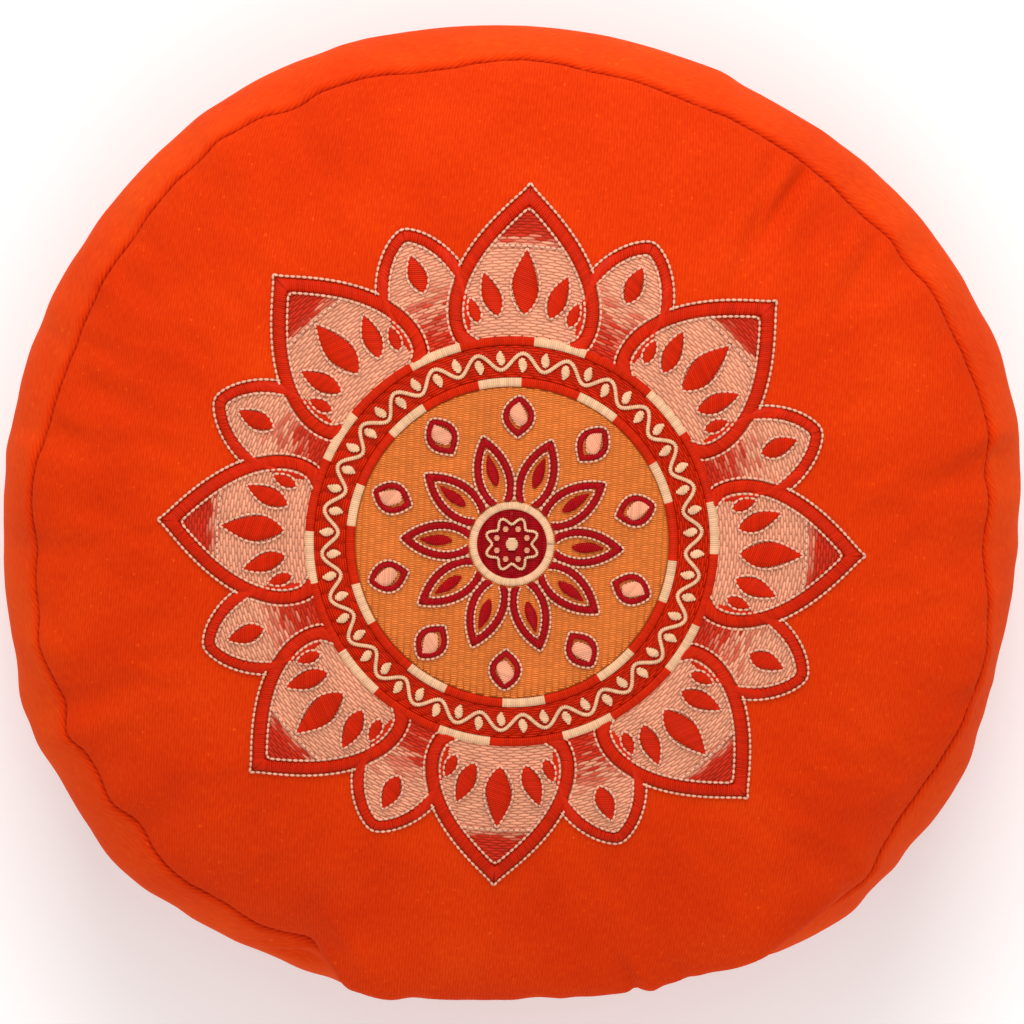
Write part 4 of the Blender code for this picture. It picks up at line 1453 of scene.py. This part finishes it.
def petal_fill(petal, seed, blend):
    """Bed and brickwork of a petal's field: rows are arcs about the medallion's middle."""
    chance = np.random.default_rng(seed + 1)
    tip = petal_edge(petal, inset=petal.border - FIELD_UNDER)[-1, 0]
    rows = int((tip - petal.root + petal.under) / FILL_PITCH)
    radius = petal.root - petal.under + FILL_PITCH * (np.arange(rows) + 0.5)
    half = np.maximum(field_half(petal, radius, petal.border - FIELD_UNDER), FIELD_LEAST)
    row, start, end = brick_cuts(half, rows, FILL_LENGTH, seed)
    at = radius[row] + chance.uniform(-ROW_WANDER, ROW_WANDER, len(row))
    shade = blend(along_petal(petal, at), chance.uniform(-1.0, 1.0, len(row)))
    grains = stitches(on_arc(at, start), on_arc(at, end), FILL_COVER * FILL_PITCH, FILL_THICKNESS,
                      FILL_ARCH, FILL_LIFT, FILL_PLACES, seed, shade)
    return [petal_bed(petal, tip, blend), grains]


def red_to_tip(share, chance):
    """Blend of a large petal: no red up to six tenths of its length, then soon only red."""
    red = np.clip(RED_STEEPNESS * (share - RED_FROM) + RED_CHANCE * chance, 0.0, 1.0)
    return red * (share > RED_FROM - 0.02)


def red_at_root(share, chance):
    """Blend of a small petal: red strands at its root, thinning out by half way."""
    red = np.clip(ROOT_RED - ROOT_FADE * share + RED_CHANCE * chance, 0.0, 1.0)
    return red * (share < ROOT_RED_END)


trial = petal_fill(LARGE, 0, red_to_tip)[1]
print("field of a large petal:", len(trial.fans) // (2 * len(SECTION_SIDE)), "stitches")

# %% [markdown]
# A satin border is a strip of stitches from the petal's edge to the same edge moved in. The needle
# lays them square to the edge, a little leaned back. At the root they fan out until the first lies
# along the ring, and at the tip they turn round the point.

# %% The border of a petal
BORDER_ARCH = 0.75
BORDER_LIFT = 0.15
SATIN_LEAN = 1.1
LEAN_AT_TIP = 0.15
ROOT_FAN = 9.0
DENSE = 0.15


def border_satin(petal, seed, arch=BORDER_ARCH, lift=BORDER_LIFT, pitch=SATIN_PITCH,
                 lean=SATIN_LEAN):
    """The satin border of one petal: each stitch goes from the outer edge to the nearest inner point.

    It leans back a little, never goes back behind the stitch before it, and fans out near the root
    until the first stitch lies along the ring.
    """
    outer = walked(petal_edge(petal), pitch)
    inner_path = walked(petal_edge(petal, inset=petal.border, spare=UNCUT), DENSE)
    wanted = outer - petal.border * left_of(outer)
    nearest = np.linalg.norm(wanted[:, None] - inner_path[None], axis=-1).argmin(axis=1)
    fan = np.clip(1.0 - pitch * np.arange(len(outer)) / ROOT_FAN, 0.0, 1.0)
    nearest = np.maximum.accumulate(nearest - (nearest[0] * fan).astype(int))
    left_over = len(inner_path) - 1 - nearest
    behind = np.minimum(lean / DENSE, LEAN_AT_TIP * left_over).astype(int)
    inner = inner_path[np.clip(nearest - behind, 0, None)]
    sides = (np.array((1.0, 1.0)), np.array((1.0, -1.0)))
    return [satin_between(outer * side, inner * side, arch, lift, seed) for side in sides]


trial = joined(border_satin(LARGE, 0))
print("border of a large petal:", len(trial.fans) // (2 * len(SECTION_SIDE)), "stitches")

# %% [markdown]
# Each petal's field is a piece of its own and stands for that petal's node. The red satin and the cream
# bead lines of all petals are sewn in one go each, because a machine changes thread once.

# %% Sew the outer petals
MEDALLION_TURN = -3.0
BEAD_LIFT = 0.3
BEAD_OUTSIDE = 0.6
BEAD_INSIDE = 0.35
OUTER_SPARE = -0.3
INNER_SPARE = 0.9
RED_LINE_INSET = 0.6
ON_FILL = 0.75
RED_EDGE = LARGE.root + RED_FROM * (LARGE.tip - LARGE.root)
# Satin leaves of each petal: root, way, length and half-width
LEAVES = {
    LARGE: [((70.5, 0.0), (1.0, 0.0), 19.5, 4.0),
            ((69.6, 7.9), (0.93, 0.37), 14.0, 2.7), ((69.6, -7.9), (0.93, -0.37), 14.0, 2.7),
            ((67.2, 13.9), (0.93, 0.36), 8.0, 1.6), ((67.2, -13.9), (0.93, -0.36), 8.0, 1.6)],
    SMALL: [((81.5, 0.0), (1.0, 0.0), 12.0, 2.7)],
}
# Every petal has a seed of its own, so that its threads keep their tones from run to run
FIRST_SEED = {LARGE: 7, SMALL: 57}
SEED_STEP = 100


def turns_of(petal):
    """Degrees by which each petal of a kind is turned."""
    return MEDALLION_TURN + petal.first + np.arange(petal.count) * 360.0 / petal.count


def arc_line(radius, half, points=25):
    """A path across a petal, at one distance from the medallion's middle."""
    return on_arc(np.full(points, radius), np.linspace(-half, half, points))


for petal, blend in ((LARGE, red_to_tip), (SMALL, red_at_root)):
    red_parts = []
    bead_parts = []
    outer_beads = both_sides(petal_edge(petal, -BEAD_OUTSIDE, OUTER_SPARE))
    inner_beads = both_sides(petal_edge(petal, petal.border + BEAD_INSIDE, INNER_SPARE))
    for number, turn in enumerate(turns_of(petal)):
        seed = SEED_STEP * number + FIRST_SEED[petal]
        field = [rotated(part, turn) for part in petal_fill(petal, seed, blend)]
        thread_piece(f"{petal.name}_{number + 1}_fill", field, PINK, [f"{petal.name}_{number + 1}"])
        red = border_satin(petal, seed) + [leaf(*row, lift=ON_FILL, seed=seed) for row in LEAVES[petal]]
        beads = [bead_line(outer_beads, BEAD_LIFT, seed), bead_line(inner_beads, ON_FILL, seed)]
        beads += [bead_line(leaf_outline(*row), ON_FILL, seed) for row in LEAVES[petal]]
        if petal is LARGE:
            half = field_half(petal, np.array((RED_EDGE,)), petal.border + RED_LINE_INSET)[0]
            beads.append(bead_line(arc_line(RED_EDGE, half), ON_FILL, seed))
        red_parts += [rotated(part, turn) for part in red]
        bead_parts += [rotated(part, turn) for part in beads]
    thread_piece(f"{petal.name}s_satin", red_parts, RED)
    thread_piece(f"{petal.name}s_beads", bead_parts, BEADS)

# %% [markdown]
# Round work needs round rows: brickwork whose rows are circles, a bed that is a ring, and satin that
# runs in to the middle. Each is a few unit vectors, like spokes, times a radius.

# %% Rings of thread
FINE_THICKNESS = 0.4
FINE_ARCH = 0.14


def spokes(degrees):
    """Unit vectors that point out from the middle at these angles: cosine and sine."""
    turn = np.radians(degrees)
    return np.stack((np.cos(turn), np.sin(turn)), axis=-1)


def circle(radius):
    """A closed path round the middle, whose radius may change on its way."""
    return np.asarray(radius)[:, None] * spokes(np.linspace(0.0, 360.0, len(radius)))


def ring_bed(inner, outer, rows=3, columns=180):
    """Closed bed under a ring."""
    way = spokes(np.arange(columns) * 360.0 / columns)
    x, y = np.moveaxis(np.linspace(inner, outer, rows)[:, None, None] * way, -1, 0)
    return bed(x, y, ring=True)


def round_rows(inner, outer, pitch, length, seed):
    """Brickwork fill in rings: stitches are chords of arcs, stepped by half from row to row."""
    chance = np.random.default_rng(seed)
    parts = []
    for row, radius in enumerate(np.arange(inner + 0.5 * pitch, outer, pitch)):
        count = int(round(2.0 * np.pi * radius / length))
        cut = (np.arange(count + 1) + 0.5 * (row % 2)) * 360.0 / count
        cut[:-1] += chance.uniform(-ROW_WANDER, ROW_WANDER, count) * 360.0 / count
        cut[-1] = cut[0] + 360.0
        points = radius * spokes(cut)
        parts.append(stitches(points[:-1], points[1:], FILL_COVER * pitch, FINE_THICKNESS, FINE_ARCH,
                              FILL_LIFT, FILL_PLACES, seed + row))
    return parts


def edge_satin(inner, outer, start, end, seed, arch=BORDER_ARCH):
    """Radial satin between two radii from one angle to another."""
    middle = np.radians(end - start) * 0.5 * (inner + outer)
    way = spokes(np.linspace(start, end, max(3, int(round(middle / SATIN_PITCH)))))
    return satin_between(way * outer, way * inner, arch, 2.0 * BORDER_LIFT, seed)


print("a ring's bed:", len(ring_bed(10.0, 20.0).points), "points")

# %% [markdown]
# The ring is red satin and fill with a cream border of its own making: blocks of cream satin on both
# edges, and between them a wave of cord with a leaf in each hollow. The wave is a sine round the ring.

# %% Sew the ring
RING_INNER = 48.2
RING_OUTER = 63.8
RING_EDGE = 3.0
RING_BED_INSET = 1.2
RING_FILL_PITCH = 0.75
RING_FILL_LENGTH = 4.6
BLOCKS = 10
BLOCK_SHARE = 0.40
WAVES = 26
WAVE_DEPTH = 2.5
WAVE_POINTS = 2401
CORD_WIDTH = 1.3
RING_LEAF_LENGTH = 4.2
RING_LEAF_HALF = 1.25
RING_MIDDLE = 0.5 * (RING_INNER + RING_OUTER)

ring_red = [ring_bed(RING_INNER + RING_BED_INSET, RING_OUTER - RING_BED_INSET)]
ring_red += round_rows(RING_INNER + RING_EDGE, RING_OUTER - RING_EDGE, RING_FILL_PITCH,
                       RING_FILL_LENGTH, 301)
ring_ivory = []
block = 360.0 / BLOCKS
for number in range(BLOCKS):
    for inner, outer, shift in ((RING_OUTER - RING_EDGE, RING_OUTER, 0.0),
                                (RING_INNER, RING_INNER + RING_EDGE, 0.5 * block)):
        start = MEDALLION_TURN + number * block + shift
        change = start + BLOCK_SHARE * block
        ring_ivory.append(edge_satin(inner, outer, start, change, 310 + number))
        ring_red.append(edge_satin(inner, outer, change, start + block, 330 + number))
wave = RING_MIDDLE + WAVE_DEPTH * np.sin(np.radians(WAVES * np.linspace(0.0, 360.0, WAVE_POINTS)))
ring_ivory.append(cord(circle(wave), CORD_WIDTH, ON_FILL, 350))
for number in range(2 * WAVES):
    out = spokes((number + 0.5) * 180.0 / WAVES)
    way = out if number % 2 else -out
    ring_ivory.append(leaf(RING_MIDDLE * out - way, way, RING_LEAF_LENGTH, RING_LEAF_HALF, ON_FILL,
                           360 + number))
thread_piece("ring_red", ring_red, RED, ["ring"])
thread_piece("ring_ivory", ring_ivory, CREAM)

# %% [markdown]
# The disc inside the ring is a plain apricot fill in straight rows, finer than the petals', and it is
# the ground for a rosette of ten wine petals, ten buds and a small flower in a cream ring.

# %% Sew the disc
DISC_OUTER = 48.0
DISC_PITCH = 0.68
DISC_LENGTH = 2.1
DISC_COVER = 1.04
DISC_THICKNESS = 0.38
CENTRE_OUTER = 13.2
CENTRE_INNER = 10.6
HOLE_MARGIN = 1.0
BED_OVERLAP = 0.3
FILL_OVERLAP = 0.4
SHORTEST_AT_HOLE = 0.5


def straight_fill(outer, hole, pitch, length, seed):
    """Straight rows over a round, less a round hole, with needle holes that line up in columns.

    Each stitch is as long as a column is wide, and every second column is set off by half a pitch.
    """
    rows = int(2.0 * outer / pitch)
    y = pitch * (np.arange(rows) + 0.5) - 0.5 * rows * pitch
    half = np.sqrt(np.maximum(outer**2 - y**2, 1.0))
    row, start, end = brick_cuts(half, rows, length, seed, step=0.0)
    column = np.floor(0.5 * (start + end) / length)
    y = y[row] + 0.25 * pitch * (1.0 - 2.0 * (column % 2.0))
    gap = np.sqrt(np.maximum(hole**2 - y**2, 0.0))
    crossing = (gap > 0.0) & (end > -gap) & (start < gap)
    left = start + end < 0.0
    end = np.where(crossing & left, -gap, end)
    start = np.where(crossing & ~left, gap, start)
    kept = end - start > SHORTEST_AT_HOLE
    first = np.stack((start, y), axis=1)[kept]
    last = np.stack((end, y), axis=1)[kept]
    return stitches(first, last, DISC_COVER * pitch, DISC_THICKNESS, FINE_ARCH, FILL_LIFT, FILL_PLACES,
                    seed)


disc_fill = [ring_bed(CENTRE_INNER + BED_OVERLAP, DISC_OUTER + FILL_OVERLAP, rows=8),
             straight_fill(DISC_OUTER, CENTRE_INNER + HOLE_MARGIN, DISC_PITCH, DISC_LENGTH, 401)]
thread_piece("disc_fill", [rotated(part, MEDALLION_TURN) for part in disc_fill], APRICOT, ["disc"])

# %% [markdown]
# A petal of the rosette is a wine satin border with a bead line on either side and a wine leaf in its
# middle, so that the apricot ground shows between. A bud is the same, smaller, round a pink seed.

# %% Sew the rosette and the buds
SMALL_ARCH = 0.45
SMALL_LIFT = ON_FILL - 0.1
SMALL_PITCH = 0.5
SMALL_LEAN = 0.6
SMALL_BEAD_PITCH = 1.5
SMALL_BEAD_OUTSIDE = 0.5
SMALL_BEAD_INSIDE = 0.3
INNER_BEAD_WIDTH = 0.8
OUTER_BEAD_WIDTH = 0.85
INNER_LEAF = {ROSETTE: ((18.6, 0.0), (1.0, 0.0), 9.5, 1.5),
              BUD: ((36.5, 0.0), (1.0, 0.0), 7.2, 2.75)}

motif_beads = []
motif_pink = []
for petal in (ROSETTE, BUD):
    outer_beads = both_sides(petal_edge(petal, -SMALL_BEAD_OUTSIDE))
    inner_beads = both_sides(petal_edge(petal, petal.border + SMALL_BEAD_INSIDE))
    for number, turn in enumerate(turns_of(petal)):
        seed = 500 + 10 * number + (0 if petal is ROSETTE else 5)
        border = border_satin(petal, seed, SMALL_ARCH, SMALL_LIFT, SMALL_PITCH, SMALL_LEAN)
        middle = leaf(*INNER_LEAF[petal], lift=ON_FILL, seed=seed)
        beads = [bead_line(outer_beads, ON_FILL, seed, SMALL_BEAD_PITCH, OUTER_BEAD_WIDTH)]
        if petal is ROSETTE:
            border.append(middle)
            beads.insert(0, bead_line(inner_beads, ON_FILL, seed, SMALL_BEAD_PITCH, INNER_BEAD_WIDTH))
        else:
            motif_pink.append(rotated(middle, turn))
        motif_beads += [rotated(part, turn) for part in beads]
        thread_piece(f"{petal.name}_{number + 1}_satin", [rotated(part, turn) for part in border], WINE,
                     [f"{petal.name}_{number + 1}"])

# %% [markdown]
# At the very middle a cream satin ring holds a wine round, filled in straight rows like the disc but
# closer. On it lie a cream line with eight lobes, a dot in every lobe, and an eye.

# %% Sew the centre
CENTRE_ARCH = 0.5
CENTRE_PITCH = 0.55
CENTRE_LENGTH = 4.5
CENTRE_LIFT = 0.8
FLOWER_RADIUS = 8.3
FLOWER_LOBES = 8
LOBE_DEPTH = 2.2
LINE_WIDTH = 0.95
LINE_SLANT = 0.2
FLOWER_EYE = 1.9
EYE_HOLE = 0.6
LOBE_DOT = 0.8
LOBE_DOT_RADIUS = 5.0


def lobed_line(points=240):
    """Path round the lobes: a radius less the square of a cosine, which dips once between two lobes."""
    turn = np.linspace(0.0, 2.0 * np.pi, points)
    return circle(FLOWER_RADIUS - LOBE_DEPTH * np.cos(0.5 * FLOWER_LOBES * turn) ** 2)


centre_ring = edge_satin(CENTRE_INNER, CENTRE_OUTER, 0.0, 360.0, 601, CENTRE_ARCH)
thread_piece("centre_ring_satin", [centre_ring], CREAM, ["centre_ring"])
centre_round = [ring_bed(EYE_HOLE, CENTRE_INNER + BED_OVERLAP, rows=4, columns=48),
                straight_fill(CENTRE_INNER + FILL_OVERLAP, 0.0, CENTRE_PITCH, CENTRE_LENGTH, 602)]
thread_piece("centre_round_fill", centre_round, WINE, ["centre_flower"])
thread_piece("centre_line", [cord(lobed_line(), LINE_WIDTH, CENTRE_LIFT, 604, slant=LINE_SLANT),
                             dot((0.0, 0.0), FLOWER_EYE, CENTRE_LIFT, 603)], CREAM)
lobe_turns = (np.arange(FLOWER_LOBES) + 0.5) * 360.0 / FLOWER_LOBES
for middle in LOBE_DOT_RADIUS * spokes(lobe_turns):
    motif_pink.append(dot(middle, LOBE_DOT, CENTRE_LIFT, 610))
thread_piece("motif_beads", motif_beads, BEADS)
thread_piece("motif_seeds", motif_pink, PINK)

# %% [markdown]
# The stage is plain. Its floor is pale and matt, just under the cushion, and wide enough that no edge
# shows from any side. It curls up a little far out, so that low views still end on it.

# %% The floor
FLOOR_SIZE = 3.0
FLOOR_STEPS = 9
FLOOR_DROP = 0.0002
FLOOR_CURL = 0.02
CURL_FROM = 0.8


def floor_object():
    """A grid whose height is a curl times the square of how far a point lies past the flat part."""
    steps = np.linspace(-FLOOR_SIZE, FLOOR_SIZE, FLOOR_STEPS)
    x, y = np.meshgrid(steps, steps)
    past = np.maximum(np.hypot(x, y) - CURL_FROM * FLOOR_SIZE, 0.0) / FLOOR_SIZE
    points = np.stack((x, y, FLOOR_CURL * past**2 - FLOOR_DROP), axis=-1).reshape(-1, 3)
    number = np.arange(x.size).reshape(x.shape)
    faces = np.stack((number[:-1, :-1], number[:-1, 1:], number[1:, 1:], number[1:, :-1]), axis=-1)
    mesh = bpy.data.meshes.new("floor")
    mesh.from_pydata(points.tolist(), [], faces.reshape(-1, 4).tolist())
    mesh.materials.append(floor_paint())
    made = bpy.data.objects.new("floor", mesh)
    bpy.context.scene.collection.objects.link(made)
    return made


def floor_paint():
    """Matt pale paint with faint clouds a third of a metre wide, which keep it from looking drawn."""
    made, tree, shader = new_material("painted_floor", Roughness=0.9, Specular_IOR_Level=0.1)
    place = add_node(tree, "ShaderNodeTexCoord").outputs["Object"]
    cloudy = add_node(tree, "ShaderNodeTexNoise", {"Vector": place, "Scale": 3.0}).outputs["Fac"]
    paint = add_node(tree, "ShaderNodeValToRGB", {0: cloudy})
    set_stops(paint, ((0.3, "#f6f5f3"), (0.7, "#fbfaf9")))
    tree.links.new(paint.outputs[0], shader.inputs["Base Color"])
    return made


floor_object()
print("floor:", 2.0 * FLOOR_SIZE, "m wide")

# %% [markdown]
# The light is a pale sky that fills the shadows, a wide soft lamp above the far edge, and a weak one at
# the near side. A wide lamp near by gives soft shadows, which is how such things are photographed.

# %% Sky and lamps
TARGET = np.array((0.0, 0.0, 0.070))
SKY_STRENGTH = 0.80
# Each lamp: name, place, size in metres and power in watts
LAMPS = (("far_lamp", (0.0, 1.3, 1.15), 0.9, 19.0), ("near_lamp", (0.2, -0.9, 1.6), 1.2, 5.0))


def aim(item, place, target):
    """Sets an object at a place with its -Z axis on a target and its Y axis up the picture."""
    back = (place - target) / np.linalg.norm(place - target)
    right = np.cross((0.0, 1.0, 0.0), back)
    right /= np.linalg.norm(right)
    up = np.cross(back, right)
    matrix = np.eye(4)
    matrix[:3, 0], matrix[:3, 1], matrix[:3, 2], matrix[:3, 3] = right, up, back, place
    item.matrix_world = Matrix(matrix.tolist())


for name, place, size, power in LAMPS:
    light = bpy.data.lights.new(name, "AREA")
    light.size = size
    light.energy = power
    lamp = bpy.data.objects.new(name, light)
    aim(lamp, np.array(place), TARGET)
    bpy.context.scene.collection.objects.link(lamp)
sky = bpy.data.worlds.new("pale_sky")
sky.use_nodes = True
background = sky.node_tree.nodes["Background"]
background.inputs["Color"].default_value = linear("#ffffff")
background.inputs["Strength"].default_value = SKY_STRENGTH
bpy.context.scene.world = sky
print("lamps:", [(name, power) for name, place, size, power in LAMPS])

# %% [markdown]
# The camera looks almost straight down on the crown from 1.5 m, tipped 7 degrees towards the far edge,
# so that the band shows there and hides at the near edge. Its lens follows from half the width that it
# should see: half the sensor times the distance over that half width.

# %% Camera
CAMERA_DISTANCE = 1.5
CAMERA_TILT = 7.0
HALF_VIEW = 0.166
SENSOR = 36.0

tilt = np.radians(CAMERA_TILT)
lens = bpy.data.cameras.new("camera")
lens.sensor_width = SENSOR
lens.lens = 0.5 * SENSOR * CAMERA_DISTANCE / HALF_VIEW
lens.clip_end = 20.0
camera = bpy.data.objects.new("camera", lens)
aim(camera, TARGET + CAMERA_DISTANCE * np.array((0.0, np.sin(tilt), np.cos(tilt))), TARGET)
bpy.context.scene.collection.objects.link(camera)
bpy.context.scene.camera = camera
bpy.context.scene.view_settings.view_transform = "Standard"
print("camera lens", round(lens.lens, 1), "mm")

# %% Sizes and the end
sewn = [item for item in bpy.data.objects if item.type == "MESH" and item.data.materials]
total = 0
for item in sewn:
    item.data.calc_loop_triangles()
    total += len(item.data.loop_triangles)
print("triangles in all:", total)
